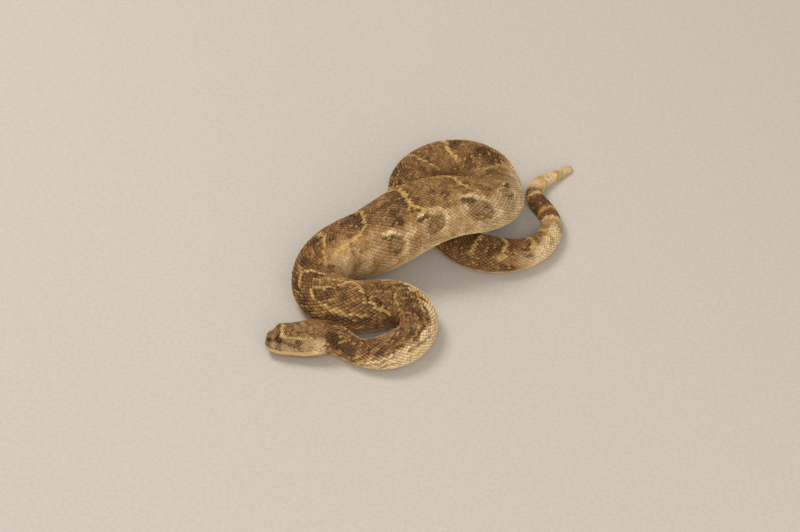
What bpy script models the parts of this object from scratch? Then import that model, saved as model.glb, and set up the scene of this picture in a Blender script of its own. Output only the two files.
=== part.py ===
"""Puff adder (Bitis arietans) at rest, life size, loosely coiled on flat ground.

The body is a tube drawn along a spine. The spine is a chain of named stretches, each with a length
and a turn, and the tube has a width and a height at stations along it. The mid-body lies over the
hind body, which is pressed flat there. Metres, +Z up, belly on z = 0.
"""

import math

import bmesh
import bpy
import numpy as np
from mathutils import Matrix, Vector

MM = 0.001

# ---------------------------------------------------------------- driving dimensions

GAP = 0.0003                       # clear space between neighbouring pieces
SPINE_STEP = 0.001                 # spacing of the traced spine
BEND_EASE = 0.013                  # length over which one bend eases into the next
GIRTH_EASE = 0.031                 # length over which widths and heights ease

START_MM = (-133.1, -110.4)        # tip of the snout on the ground plan
START_HEADING = 2                  # degrees from +X, snout towards neck

# Stretches from snout to tail tip: name, length in mm, turn in degrees (left is positive).
STRETCHES = (
    ("head", 53, 0),
    ("nape", 18, -47),
    ("first bend, wide part", 82, 135),
    ("first bend, close part", 45, 120),
    ("second bend", 123, -197),
    ("run over the hind body", 104, 0),
    ("third bend", 42, 77),
    ("right side of the coil", 39, 10),
    ("back of the coil", 135, 212),
    ("run under the mid-body", 55, -6),
    ("tail sweep", 142, 182),
    ("tail hook", 35, -88),
    ("tail tip", 35, 1),
)
LENGTH = sum(length for _, length, _ in STRETCHES) * MM

# Full width of the body at distances from the snout, both in mm, before easing.
WIDTHS_MM = (
    (49, 36), (74, 16), (102, 32), (154, 31), (214, 47), (287, 42), (359, 71), (430, 51),
    (500, 49), (580, 37), (661, 30), (725, 36), (774, 23), (823, 16), (861, 15), (908, 4),
)
# Height of the body as a share of its width, before easing; least where the mid-body lies on it.
HEIGHT_SHARES = (
    (0, 0.70), (58, 0.80), (107, 0.84), (193, 0.84), (298, 0.80), (359, 0.78), (430, 0.76),
    (580, 0.74), (639, 0.62), (684, 0.62), (725, 0.76), (784, 0.80), (843, 0.85), (908, 0.90),
)
# The mid-body rises over the hind body and comes down again.
CROSSING_AT = 0.416
CROSSING_REACH = 0.094
CROSSING_RISE = 0.031
# The head is held just clear of the ground, and the neck comes down behind it.
HEAD_RISE = 0.003
HEAD_RISE_FULL = 0.045
HEAD_RISE_END = 0.085

# Cross-section of the body.
BODY_SIDES = 24
BODY_ROUNDNESS = 2.3               # 2 is an ellipse; more is squarer
WIDEST_AT = 0.44                   # height of the widest line, as a share of the height
BELLY_FLAT = 1.08                  # above 1 the underside is cut flat
RING_SPACING = 0.007

# Lengths of the body between its cuts, in mm from the snout.
HEAD_END = 0.051
BODY_CUTS_MM = (51, 104, 153, 199, 257, 314, 370, 427, 478, 535, 598, 660, 732, 810)
TAIL_TIP_ROUND = 0.005
TAIL_TIP_RINGS_MM = (3.6, 2.2, 1.1, 0.4, 0.05)

# Head stations, in mm from the snout: half-widths of crown and lip, heights of crown, mouth, chin.
HEAD_STATIONS_MM = (0, 4, 8, 11, 13.5, 21, 29, 37, 44, 48, 51)
CROWN_HALF_MM = (5.2, 6.1, 6.9, 7.9, 9.4, 10.0, 12.0, 13.9, 14.7, 15.1, 15.3)
LIP_HALF_MM = (8.4, 9.4, 10.8, 12.0, 12.9, 14.4, 16.6, 18.0, 17.8, 16.7, 15.3)
CROWN_Z_MM = (13.5, 16.4, 18.5, 20.8, 22.9, 22.9, 23.4, 23.8, 23.7, 23.4, 23.3)
MOUTH_Z_MM = (4.6, 4.4, 4.2, 4.2, 4.4, 4.8, 5.8, 7.2, 8.6, 9.6, 10.2)
CHIN_Z_MM = (2.2, 1.0, 0.3, 0.0, 0.0, 0.0, 0.0, 0.0, 0.0, 0.0, 0.0)
JAW_SHARE = (0.80, 0.82, 0.84, 0.85, 0.86, 0.87, 0.89, 0.92, 0.95, 0.98, 1.0)
HEAD_ROUNDNESS = (2.6, 2.8, 3.1, 3.6, 3.8, 3.6, 3.3, 3.0, 2.7, 2.4, 2.3)
CHEEK_TAPER = 0.75                 # below 1 the lips stand out under steeper cheeks
SNOUT_ROUND_MM = 7.0
SNOUT_TIP_Z_MM = 5.8
HEAD_RINGS_MM = (0.1, 0.5, 1.2, 2.2, 3.6, 5.4, 7.4, 9.2, 10.8, 12.4, 14.2, 16.5, 19, 22, 25.5, 29,
                 33, 37, 40.5, 43.5, 46, 48, 49.6, 50.85)
UPPER_STEPS = 18                   # steps over the crown from lip to lip
LOWER_STEPS = 14                   # steps under the chin from lip to lip

# Eyes and nostrils.
EYE_RADIUS = 0.0027
EYE_AT_MM = (11.7, 7.3, 15.6)      # from the snout, out from the midline, up
NOSTRIL_RADIUS = 0.0009
NOSTRIL_DEPTH = 0.0016
NOSTRIL_AT_MM = (3.0, 4.4, 13.6)

# ---------------------------------------------------------------- colours

TAN = (0.46, 0.34, 0.20)
BROWN = (0.22, 0.14, 0.08)
CREAM = (0.62, 0.52, 0.34)
EYE_DARK = (0.03, 0.02, 0.018)


def clear_scene():
    for item in list(bpy.data.objects):
        bpy.data.objects.remove(item, do_unlink=True)


def scale_material(name, color, roughness=0.6):
    """One plain Principled material."""
    material = bpy.data.materials.new(name)
    material.use_nodes = True
    shader = material.node_tree.nodes["Principled BSDF"]
    shader.inputs["Base Color"].default_value = (*color, 1.0)
    shader.inputs["Roughness"].default_value = roughness
    shader.inputs["Metallic"].default_value = 0.0
    material.diffuse_color = (*color, 1.0)
    return material


# ---------------------------------------------------------------- spine and girth

def eased(values, reach):
    """A running mean, taken twice, over the given reach along the spine."""
    count = int(round(reach / SPINE_STEP)) | 1
    kernel = np.ones(count) / count
    for _ in range(2):
        padded = np.pad(values, count // 2, mode="edge")
        values = np.convolve(padded, kernel, mode="valid")
    return values


def running_sum(rates):
    """Integral of the rates along the spine, by the trapezoid rule, starting at zero."""
    means = (rates[1:] + rates[:-1]) / 2
    return np.concatenate([[0.0], np.cumsum(means)]) * SPINE_STEP


def trace_spine():
    """Distance, x, y and heading along the spine, on the ground plan."""
    distance = np.arange(0.0, LENGTH + SPINE_STEP / 2, SPINE_STEP)
    ends = np.cumsum([0.0] + [length * MM for _, length, _ in STRETCHES])
    turned = np.cumsum([0.0] + [math.radians(turn) for _, _, turn in STRETCHES])
    bend = eased(np.gradient(np.interp(distance, ends, turned), distance), BEND_EASE)
    heading = math.radians(START_HEADING) + running_sum(bend)
    x = START_MM[0] * MM + running_sum(np.cos(heading))
    y = START_MM[1] * MM + running_sum(np.sin(heading))
    return distance, x, y, heading


def girth(distance):
    """Width and height of the body along the spine."""
    at, wide = np.transpose(WIDTHS_MM)
    width = eased(np.interp(distance, at * MM, wide * MM), GIRTH_EASE)
    at, share = np.transpose(HEIGHT_SHARES)
    height = width * eased(np.interp(distance, at * MM, share), GIRTH_EASE)
    return width, height


SPINE_AT, SPINE_X, SPINE_Y, SPINE_HEADING = trace_spine()
BODY_WIDTH, BODY_HEIGHT = girth(SPINE_AT)


def along(values, s):
    return float(np.interp(s, SPINE_AT, values))


def rise(s):
    """Height of the underside above the ground: at the head, and where the mid-body crosses over."""
    crossing = min(abs(s - CROSSING_AT) / CROSSING_REACH, 1.0)
    nape = min(max((s - HEAD_RISE_FULL) / (HEAD_RISE_END - HEAD_RISE_FULL), 0.0), 1.0)
    return (CROSSING_RISE * (1 + math.cos(math.pi * crossing))
            + HEAD_RISE * (1 + math.cos(math.pi * nape))) / 2


def directions(s):
    """Forward (towards the tail) and left unit vectors at a distance from the snout."""
    heading = along(SPINE_HEADING, s)
    forward = Vector((math.cos(heading), math.sin(heading), 0.0))
    return forward, Vector((-forward.y, forward.x, 0.0))


def place(s, outline, shift=0.0):
    """World points of a section outline of (out to the left, up) pairs at distance s."""
    forward, left = directions(s)
    base = Vector((along(SPINE_X, s), along(SPINE_Y, s), rise(s))) + forward * shift
    return [base + left * out + Vector((0, 0, up)) for out, up in outline]


# ---------------------------------------------------------------- sections

def power(value, exponent):
    return math.copysign(abs(value) ** exponent, value)


def body_outline(width, height):
    """Rounded section with a flat belly strip, from the left side over the back."""
    outline = []
    middle = WIDEST_AT * height
    for step in range(BODY_SIDES):
        angle = 2 * math.pi * step / BODY_SIDES
        out = width / 2 * power(math.cos(angle), 2 / BODY_ROUNDNESS)
        lift = power(math.sin(angle), 2 / BODY_ROUNDNESS)
        if lift >= 0:
            up = middle + (height - middle) * lift
        else:
            up = middle * (1 - min(1.0, BELLY_FLAT * -lift))
        outline.append((out, up))
    return outline


def tip_round(s, reach):
    """0 at a rounded end, 1 from the given reach onwards."""
    return math.sqrt(max(0.0, 1 - (1 - min(s / reach, 1.0)) ** 2.4))


def body_ring(s, shift=0.0):
    closing = tip_round(LENGTH - s, TAIL_TIP_ROUND)
    width = along(BODY_WIDTH, s) * closing
    height = along(BODY_HEIGHT, s) * (0.35 + 0.65 * closing)
    return place(s, body_outline(width, height), shift)


def head_value(table, s):
    """A head table at distance s, eased between its stations (monotone cubic)."""
    at = np.array(HEAD_STATIONS_MM) * MM
    values = np.array(table)
    slopes = np.diff(values) / np.diff(at)
    inner = np.where(slopes[1:] * slopes[:-1] > 0,
                     2 * slopes[1:] * slopes[:-1] / (slopes[1:] + slopes[:-1] + 1e-12), 0.0)
    tangents = np.concatenate([[slopes[0]], inner, [slopes[-1]]])
    i = int(np.clip(np.searchsorted(at, s) - 1, 0, len(at) - 2))
    run = at[i + 1] - at[i]
    t = (s - at[i]) / run
    return float((2 * t**3 - 3 * t**2 + 1) * values[i] + (t**3 - 2 * t**2 + t) * run * tangents[i]
                 + (3 * t**2 - 2 * t**3) * values[i + 1] + (t**3 - t**2) * run * tangents[i + 1])


def head_shape(s):
    """Half-widths, heights and roundness of the head's section at distance s, in metres."""
    closing = tip_round(s, SNOUT_ROUND_MM * MM)
    tip_z = SNOUT_TIP_Z_MM * MM
    heights = []
    for table in (CROWN_Z_MM, MOUTH_Z_MM, CHIN_Z_MM):
        heights.append(tip_z + (head_value(table, s) * MM - tip_z) * closing ** 0.7)
    crown = head_value(CROWN_HALF_MM, s) * MM * closing
    lip = head_value(LIP_HALF_MM, s) * MM * closing
    jaw = lip * head_value(JAW_SHARE, s)
    return crown, lip, jaw, *heights, 2 / head_value(HEAD_ROUNDNESS, s)


def upper_outline(s):
    """Section of the upper head: flat palate, upright lips, crown with rounded brows."""
    crown, lip, _, crown_z, mouth_z, _, exponent = head_shape(s)
    outline = []
    for step in range(UPPER_STEPS + 1):
        angle = math.pi * step / UPPER_STEPS
        lift = power(math.sin(angle), exponent) if 0 < step < UPPER_STEPS else 0.0
        half = lip + (crown - lip) * lift ** CHEEK_TAPER
        outline.append((half * power(math.cos(angle), exponent), mouth_z + (crown_z - mouth_z) * lift))
    return outline


def lower_outline(s):
    """Section of the lower jaw: flat against the palate, rounded sides, flat chin."""
    _, _, jaw, _, mouth_z, chin_z, exponent = head_shape(s)
    top = mouth_z - GAP
    outline = []
    for step in range(LOWER_STEPS + 1):
        angle = math.pi * step / LOWER_STEPS
        drop = power(math.sin(angle), exponent) if 0 < step < LOWER_STEPS else 0.0
        drop = min(1.0, BELLY_FLAT * drop)
        outline.append((-jaw * power(math.cos(angle), exponent), top - (top - chin_z) * drop))
    return outline


# ---------------------------------------------------------------- solids

def loft(name, rings, material):
    """A closed solid through rings of equal point counts, capped at both ends."""
    mesh = bpy.data.meshes.new(name)
    shape = bmesh.new()
    loops = [[shape.verts.new(point) for point in ring] for ring in rings]
    count = len(loops[0])
    for lower, upper in zip(loops, loops[1:]):
        for i in range(count):
            j = (i + 1) % count
            shape.faces.new((lower[i], lower[j], upper[j], upper[i]))
    shape.faces.new(loops[0][::-1])
    shape.faces.new(loops[-1])
    bmesh.ops.triangulate(shape, faces=shape.faces[:], ngon_method="EAR_CLIP")
    bmesh.ops.recalc_face_normals(shape, faces=shape.faces[:])
    shape.to_mesh(mesh)
    shape.free()
    mesh.shade_smooth()
    mesh.set_sharp_from_angle(angle=math.radians(50))
    mesh.materials.append(material)
    item = bpy.data.objects.new(name, mesh)
    bpy.context.scene.collection.objects.link(item)
    return item


def stations(start, end):
    count = max(2, math.ceil((end - start) / RING_SPACING))
    return [start + (end - start) * i / count for i in range(count + 1)]


def body_piece(name, start, end, material):
    """One length of the body between two flat cuts."""
    rings = [body_ring(s) for s in stations(start, end)]
    rings[0] = body_ring(start, shift=GAP / 2)
    rings[-1] = body_ring(end, shift=-GAP / 2)
    loft(name, rings, material)


def tail_piece(name, start, material):
    """The tail, from its flat cut to its rounded tip."""
    rings = [body_ring(s) for s in stations(start, LENGTH - TAIL_TIP_ROUND)]
    rings[0] = body_ring(start, shift=GAP / 2)
    rings += [body_ring(LENGTH - value * MM) for value in TAIL_TIP_RINGS_MM]
    loft(name, rings, material)


def ball(name, centre, radius, material, segments=16, rings=10):
    mesh = bpy.data.meshes.new(name)
    shape = bmesh.new()
    bmesh.ops.create_uvsphere(shape, u_segments=segments, v_segments=rings, radius=radius)
    shape.to_mesh(mesh)
    shape.free()
    mesh.shade_smooth()
    if material:
        mesh.materials.append(material)
    item = bpy.data.objects.new(name, mesh)
    item.location = centre
    bpy.context.scene.collection.objects.link(item)
    return item


def head_point(at_mm, side):
    """World point of a place on the head; side is +1 for the animal's left and -1 for its right."""
    ahead, out, up = (value * MM for value in at_mm)
    return place(ahead, [(-side * out, up)])[0]


def cut(item, cutter):
    """Takes a hidden cutter's shape out of a solid."""
    cutter.hide_render = True
    cutter.display_type = "WIRE"
    boolean = item.modifiers.new(cutter.name, "BOOLEAN")
    boolean.operation = "DIFFERENCE"
    boolean.solver = "EXACT"
    boolean.object = cutter


def nostril_cutter(name, side):
    """A short round bit pointing up and out of the side of the snout."""
    _, left = directions(NOSTRIL_AT_MM[0] * MM)
    outward = (left * -side + Vector((0, 0, 1.3))).normalized()
    mesh = bpy.data.meshes.new(name)
    shape = bmesh.new()
    bmesh.ops.create_cone(shape, cap_ends=True, segments=12, radius1=NOSTRIL_RADIUS * 0.6,
                          radius2=NOSTRIL_RADIUS, depth=2 * NOSTRIL_DEPTH)
    shape.to_mesh(mesh)
    shape.free()
    item = bpy.data.objects.new(name, mesh)
    turn = outward.to_track_quat("Z", "Y").to_matrix().to_4x4()
    item.matrix_world = Matrix.Translation(head_point(NOSTRIL_AT_MM, side)) @ turn
    bpy.context.scene.collection.objects.link(item)
    return item


def build_head():
    skin = scale_material("head_scales", TAN)
    rings = [place(s * MM, upper_outline(s * MM)) for s in HEAD_RINGS_MM]
    head = loft("head", rings, skin)
    rings = [place(s * MM, lower_outline(s * MM)) for s in HEAD_RINGS_MM]
    loft("lower_jaw", rings, scale_material("jaw_scales", CREAM))
    eye_material = scale_material("eye", EYE_DARK, roughness=0.1)
    for word, side in (("left", 1), ("right", -1)):
        centre = head_point(EYE_AT_MM, side)
        cut(head, ball(f"socket_{word}_cutter", centre, EYE_RADIUS + GAP, None))
        ball(f"eye_{word}", centre, EYE_RADIUS, eye_material)
        cut(head, nostril_cutter(f"nostril_{word}_cutter", side))


def build_body():
    skin = scale_material("body_scales", BROWN)
    cuts = [value * MM for value in BODY_CUTS_MM]
    names = ["neck"] + [f"body_{i:02d}" for i in range(1, len(cuts) - 1)]
    for name, start, end in zip(names, cuts, cuts[1:]):
        body_piece(name, start, end, skin)
    tail_piece("tail", cuts[-1], scale_material("tail_scales", TAN))


clear_scene()
build_head()
build_body()
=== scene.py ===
"""Puff adder at rest: one skin, overlapping keeled scales, belly plates, eyes and markings.

The animal's surface is a grid of points: one way along the body from the snout, the other way around it.
Skin, scales and markings are all placed on that grid. Metres, +Z up. Distances named _MM are in mm.

s is the distance from the snout along the spine, and m the same over the surface. arc is the distance
around the body from its highest line, positive on the animal's right side. share is arc as a share of
half the girth: 0 on the highest line, 1 or -1 on the belly line.
"""

import math

import bpy
import numpy as np
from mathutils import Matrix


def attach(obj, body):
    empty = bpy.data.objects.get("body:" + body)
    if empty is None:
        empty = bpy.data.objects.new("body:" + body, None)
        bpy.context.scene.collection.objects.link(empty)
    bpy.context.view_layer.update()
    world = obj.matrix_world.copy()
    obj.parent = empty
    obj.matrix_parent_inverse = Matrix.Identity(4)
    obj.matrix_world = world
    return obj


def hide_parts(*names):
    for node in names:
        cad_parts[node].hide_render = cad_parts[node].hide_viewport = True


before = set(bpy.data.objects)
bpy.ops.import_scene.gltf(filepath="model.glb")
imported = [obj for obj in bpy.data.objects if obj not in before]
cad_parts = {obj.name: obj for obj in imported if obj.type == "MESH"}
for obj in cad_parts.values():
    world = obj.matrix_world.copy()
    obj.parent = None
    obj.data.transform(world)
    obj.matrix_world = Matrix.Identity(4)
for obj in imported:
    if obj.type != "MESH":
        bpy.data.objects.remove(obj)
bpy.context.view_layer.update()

MM = 0.001

# ---------------- pose and girth, as in the solids

SPINE_STEP = 0.001
BEND_EASE = 0.013
GIRTH_EASE = 0.031
START_MM = (-133.1, -110.4)
START_HEADING = 2
STRETCHES = (                       # from snout to tail tip: length in mm, turn in degrees
    (53, 0), (18, -47), (82, 135), (45, 120), (123, -197), (104, 0), (42, 77), (39, 10), (135, 212),
    (55, -6), (142, 182), (35, -88), (35, 1),
)
LENGTH = sum(length for length, _ in STRETCHES) * MM
WIDTHS_MM = (
    (49, 36), (74, 16), (102, 32), (154, 31), (214, 47), (287, 42), (359, 71), (430, 51),
    (500, 49), (580, 37), (661, 30), (725, 36), (774, 23), (823, 16), (861, 15), (908, 4),
)
HEIGHT_SHARES = (
    (0, 0.70), (58, 0.80), (107, 0.84), (193, 0.84), (298, 0.80), (359, 0.78), (430, 0.76),
    (580, 0.74), (639, 0.62), (684, 0.62), (725, 0.76), (784, 0.80), (843, 0.85), (908, 0.90),
)
CROSSING_AT, CROSSING_REACH, CROSSING_RISE = 0.416, 0.094, 0.031
HEAD_RISE, HEAD_RISE_FULL, HEAD_RISE_END = 0.003, 0.045, 0.085
BODY_ROUNDNESS = 2.3
WIDEST_AT = 0.44
BELLY_FLAT = 1.08
TAIL_TIP_ROUND = 0.005
HEAD_END = 0.051
HEAD_STATIONS_MM = (0, 4, 8, 11, 13.5, 21, 29, 37, 44, 48, 51)
CROWN_HALF_MM = (5.2, 6.1, 6.9, 7.9, 9.4, 10.0, 12.0, 13.9, 14.7, 15.1, 15.3)
LIP_HALF_MM = (8.4, 9.4, 10.8, 12.0, 12.9, 14.4, 16.6, 18.0, 17.8, 16.7, 15.3)
CROWN_Z_MM = (13.5, 16.4, 18.5, 20.8, 22.9, 22.9, 23.4, 23.8, 23.7, 23.4, 23.3)
MOUTH_Z_MM = (4.6, 4.4, 4.2, 4.2, 4.4, 4.8, 5.8, 7.2, 8.6, 9.6, 10.2)
CHIN_Z_MM = (2.2, 1.0, 0.3, 0.0, 0.0, 0.0, 0.0, 0.0, 0.0, 0.0, 0.0)
JAW_SHARE = (0.80, 0.82, 0.84, 0.85, 0.86, 0.87, 0.89, 0.92, 0.95, 0.98, 1.0)
HEAD_ROUNDNESS = (2.6, 2.8, 3.1, 3.6, 3.8, 3.6, 3.3, 3.0, 2.7, 2.4, 2.3)
CHEEK_TAPER = 0.75
SNOUT_ROUND = 0.007
SNOUT_TIP_Z = 0.0058
SNOUT_HALF_HEIGHT, TAIL_TIP_HALF_HEIGHT = 0.0085, 0.0035
EYE_RADIUS = 0.0027
EYE_AT_MM = (11.7, 7.3, 15.6)       # from the snout, out from the midline, up
NOSTRIL_AT_MM = (3.0, 4.4, 13.6)
BROW_OFFSET = (0.0006, 0, 0.0052)   # from an eye's centre to the middle of the ridge over it
BROW_HEIGHT, BROW_REACH = 0.0007, 0.0026
BROW_AXES = (0.55, 1.0, 1.0)        # the ridge is longer along the head, which lies along x
NOSTRIL_RIM_RADIUS, NOSTRIL_RIM_HEIGHT, NOSTRIL_RIM_REACH = 0.0016, 0.0004, 0.0007
MOUTH_LINE_DEPTH, NOSTRIL_DEPTH, SOCKET_DEPTH = 0.0012, 0.0026, 0.0018
MOUTH_LINE_START, MOUTH_LINE_END = (0.0004, 0.003), (0.040, 0.047)
NOSTRIL_RADII, NOSTRIL_SHADE_RADII, SOCKET_RADII = (0.0007, 0.0014), (0.0016, 0.0030), (0.0027, 0.0035)

# ---------------- the grid

ALONG_STEP = 0.0005                 # spacing of the grid along the body
HALF_COLUMNS = 100                  # columns from the back line to the belly line
LIP_COLUMN = 62                     # column that follows the upper lip
JAW_COLUMN = 66                     # column that follows the rim of the lower jaw
LIP_FADE = 0.035                    # length behind the head over which the lip columns even out
LEAST_GROOVE = 0.004                # least share of the half girth between lip and jaw
OUTLINE_SAMPLES = 240

# ---------------- scales

# Distance between scale rows around the body, and scale pitch along it as a share of that.
ROW_PITCH_MM = (
    (0, 1.6), (15, 1.7), (30, 1.75), (50, 1.6), (75, 1.4), (110, 1.5), (160, 1.6), (214, 1.75),
    (290, 1.75), (359, 1.65), (430, 1.62), (500, 1.62), (580, 1.62), (661, 1.6), (725, 1.6),
    (774, 1.5), (823, 1.4), (861, 1.35), (908, 1.1),
)
PITCH_SHARE = ((0, 1.1), (42, 1.15), (60, 1.9), (80, 2.2), (840, 2.2), (908, 2.0))
BACK_SHARE = 0.79                   # share of the half girth under scale rows; belly plates cover the rest
# Points of one scale, along it and across it, and its half-width along it for each kind of scale.
SCALE_ALONG = (0.0, 0.22, 0.44, 0.64, 0.80, 0.92, 1.0)
SCALE_ACROSS = (-1.0, -0.62, -0.22, 0.0, 0.22, 0.62, 1.0)
KEELED_OUTLINE = (0.50, 0.76, 0.96, 1.0, 0.72, 0.36, 0.05)
ROUND_OUTLINE = (0.60, 0.90, 1.0, 0.98, 0.82, 0.54, 0.24)
LIP_OUTLINE = (1.0, 1.0, 1.0, 1.0, 1.0, 0.98, 0.92)
PLATE_OUTLINE = (0.86, 0.98, 1.0, 1.0, 1.0, 0.96, 0.84)
# Height of the keel at the places of SCALE_ALONG.
CREST_ALONG = (0.0, 0.30, 0.75, 1.0, 1.0, 0.70, 0.15)
PLATE_ACROSS = (-1.0, -0.8, -0.6, -0.4, -0.2, 0.0, 0.2, 0.4, 0.6, 0.8, 1.0)
SCALE_THICKNESS = 0.24 / 1.3        # as a share of the pitch along the body
PLATE_THINNING = 0.45               # how much thinner the belly plates are
PLATE_EDGE = (0.76, 0.84)           # shares over which the thickness passes into that
KEEL_ACROSS, KEEL_HEIGHT = (0, 0.22, 0.4), (1, 0.25, 0)
PATCH = 0.003                       # size of one scale's patch in the bake map
LIP_BAND = 0.0021                   # height of the lip plates
OVERLAP, HEAD_OVERLAP_LESS = 1.5, 0.18          # length over pitch, and how much less on the head
HALF_WIDTH, HEAD_HALF_WIDTH_LESS = 0.95, 0.39   # the same for half-width over row pitch
STRETCH_LIMITS = (0.75, 1.12)       # how far a scale's length follows the stretch of a bend
LENGTH_VARIES, WIDTH_VARIES, HEIGHT_VARIES = 0.05, 0.04, 0.08
HEAD_WANDER = 0.10                  # how far scales of the head stand off their rows, in row pitches
KEEL, CAMBER = 0.42, 0.45           # heights of the keel and of the dome over the height of the scale
HEAD_KEEL = 0.1                     # keel on the head as a share of the keel on the body
TONE_VARIES, SMOOTH_TONE_VARIES = 0.13, 0.05
FLECKS = 0.04                       # share of scales that are darker flecks
ROW_MARGIN = 0.35                   # least gap from the last row to the plates, in row pitches
CLEAR_OF_EYES, CLEAR_OF_NOSTRILS = 0.0041, 0.0024
FIRST_SCALE_AT = 0.0035
LIPS_END, BELLY_START = 0.042, 0.045
HEAD_SCALES_END = (0.046, 0.060)    # smooth scales of the head pass into keeled ones of the body
OWN_SHARE = 0.70                    # how much of a scale's colour is one tone for the whole scale
SKIN_TONE = 0.42                    # the skin's lightness as a share of the markings
SEED = 11


def lerp(table, s):
    """Value at s from a table of (mm from the snout, value)."""
    at, value = np.transpose(table)
    return np.interp(s, np.asarray(at) * MM, value)


def soft(value, low, high):
    """0 below low, 1 above high, smooth between."""
    t = np.clip((value - low) / (high - low), 0.0, 1.0)
    return t * t * (3 - 2 * t)


# ---------------- spine, girth and sections

def eased(values, reach):
    """Values along the spine averaged twice over a reach."""
    count = int(round(reach / SPINE_STEP)) | 1
    kernel = np.ones(count) / count
    for _ in range(2):
        padded = np.pad(values, count // 2, mode="edge")
        values = np.convolve(padded, kernel, mode="valid")
    return values


def running_sum(rates, step=SPINE_STEP):
    """Sum of the rates up to each sample, from 0."""
    means = (rates[1:] + rates[:-1]) / 2
    return np.concatenate([[0.0], np.cumsum(means * step)])


SPINE_AT = np.arange(0.0, LENGTH + SPINE_STEP / 2, SPINE_STEP)
ENDS = np.cumsum([0.0] + [length * MM for length, _ in STRETCHES])
TURNED = np.cumsum([0.0] + [math.radians(turn) for _, turn in STRETCHES])
BEND = eased(np.gradient(np.interp(SPINE_AT, ENDS, TURNED), SPINE_AT), BEND_EASE)
HEADING = math.radians(START_HEADING) + running_sum(BEND)
SPINE_X = START_MM[0] * MM + running_sum(np.cos(HEADING))
SPINE_Y = START_MM[1] * MM + running_sum(np.sin(HEADING))
WIDTH = eased(lerp(WIDTHS_MM, SPINE_AT) * MM, GIRTH_EASE)
HEIGHT = WIDTH * eased(lerp(HEIGHT_SHARES, SPINE_AT), GIRTH_EASE)


def along(values, s):
    return np.interp(s, SPINE_AT, values)


def rise(s):
    """Height of the belly line: over the crossing, and under the head."""
    crossing = np.clip(np.abs(s - CROSSING_AT) / CROSSING_REACH, 0, 1)
    nape = np.clip((s - HEAD_RISE_FULL) / (HEAD_RISE_END - HEAD_RISE_FULL), 0, 1)
    return (CROSSING_RISE * (1 + np.cos(np.pi * crossing)) + HEAD_RISE * (1 + np.cos(np.pi * nape))) / 2


def tip_round(s, reach):
    """Share of the full width at a distance s from a rounded tip."""
    return np.sqrt(np.clip(1 - (1 - np.clip(s / reach, 0, 1)) ** 2.4, 0, 1))


def head_value(table, s):
    """A head table at distance s, eased between its stations (monotone cubic)."""
    at = np.array(HEAD_STATIONS_MM) * MM
    values = np.array(table)
    slopes = np.diff(values) / np.diff(at)
    inner = np.where(slopes[1:] * slopes[:-1] > 0,
                     2 * slopes[1:] * slopes[:-1] / (slopes[1:] + slopes[:-1] + 1e-12), 0.0)
    tangents = np.concatenate([[slopes[0]], inner, [slopes[-1]]])
    i = int(np.clip(np.searchsorted(at, s) - 1, 0, len(at) - 2))
    run = at[i + 1] - at[i]
    t = (s - at[i]) / run
    return float((2 * t**3 - 3 * t**2 + 1) * values[i] + (t**3 - 2 * t**2 + t) * run * tangents[i]
                 + (3 * t**2 - 2 * t**3) * values[i + 1] + (t**3 - t**2) * run * tangents[i + 1])


# Angles of a quarter section, crowded towards both ends where a squarish outline turns fastest.
QUARTER = soft(soft(np.linspace(0, 1, OUTLINE_SAMPLES), 0, 1), 0, 1) * math.pi / 2


def body_half(s):
    """Half section from the back line down to the belly line: out, up; no lip."""
    closing = tip_round(LENGTH - s, TAIL_TIP_ROUND)
    width = along(WIDTH, s) * closing
    height = along(HEIGHT, s) * (0.35 + 0.65 * closing)
    middle = WIDEST_AT * height
    exponent = 2 / BODY_ROUNDNESS
    lift = np.cos(QUARTER) ** exponent
    out = width / 2 * np.sin(QUARTER) ** exponent
    upper = np.stack([out, middle + (height - middle) * lift], 1)
    drop = np.minimum(1.0, BELLY_FLAT * np.sin(QUARTER) ** exponent)
    lower = np.stack([width / 2 * np.cos(QUARTER) ** exponent, middle * (1 - drop)], 1)
    return upper, lower


def head_half(s):
    """Half section of the head: over the crown to the lip, then from the jaw's rim to the chin."""
    closing = tip_round(s, SNOUT_ROUND)
    heights = []
    for table in (CROWN_Z_MM, MOUTH_Z_MM, CHIN_Z_MM):
        heights.append(SNOUT_TIP_Z + (head_value(table, s) * MM - SNOUT_TIP_Z) * closing ** 0.7)
    crown_z, mouth_z, chin_z = heights
    crown = head_value(CROWN_HALF_MM, s) * MM * closing
    lip = head_value(LIP_HALF_MM, s) * MM * closing
    jaw = lip * head_value(JAW_SHARE, s)
    exponent = 2 / head_value(HEAD_ROUNDNESS, s)
    lift = np.cos(QUARTER) ** exponent
    half = lip + (crown - lip) * lift ** CHEEK_TAPER
    upper = np.stack([half * np.sin(QUARTER) ** exponent, mouth_z + (crown_z - mouth_z) * lift], 1)
    drop = np.minimum(1.0, BELLY_FLAT * np.sin(QUARTER) ** exponent)
    lower = np.stack([jaw * np.cos(QUARTER) ** exponent, mouth_z - (mouth_z - chin_z) * drop], 1)
    return upper, lower


def meridian():
    """Distance over the surface from the snout tip, against distance s along the spine."""
    ends = np.linspace(0, 1, 400) ** 2.5
    s = np.unique(np.concatenate([ends * 0.010, LENGTH - ends * 0.008,
                                  np.arange(0.010, LENGTH - 0.008, 0.0005)]))
    snout = SNOUT_HALF_HEIGHT * tip_round(s, SNOUT_ROUND)
    tail = TAIL_TIP_HALF_HEIGHT * tip_round(LENGTH - s, TAIL_TIP_ROUND)
    steps = np.sqrt(np.diff(s) ** 2 + np.diff(snout) ** 2 + np.diff(tail) ** 2)
    return s, np.concatenate([[0.0], np.cumsum(steps)])


FINE_S, FINE_M = meridian()
TOTAL = FINE_M[-1]
ROWS = int(TOTAL / ALONG_STEP) + 1
M_AT = np.linspace(0, TOTAL, ROWS)
S_AT = np.clip(np.interp(M_AT, FINE_M, FINE_S), 1e-6, LENGTH - 1e-6)


def to_s(m):
    return np.interp(m, FINE_M, FINE_S)


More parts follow.
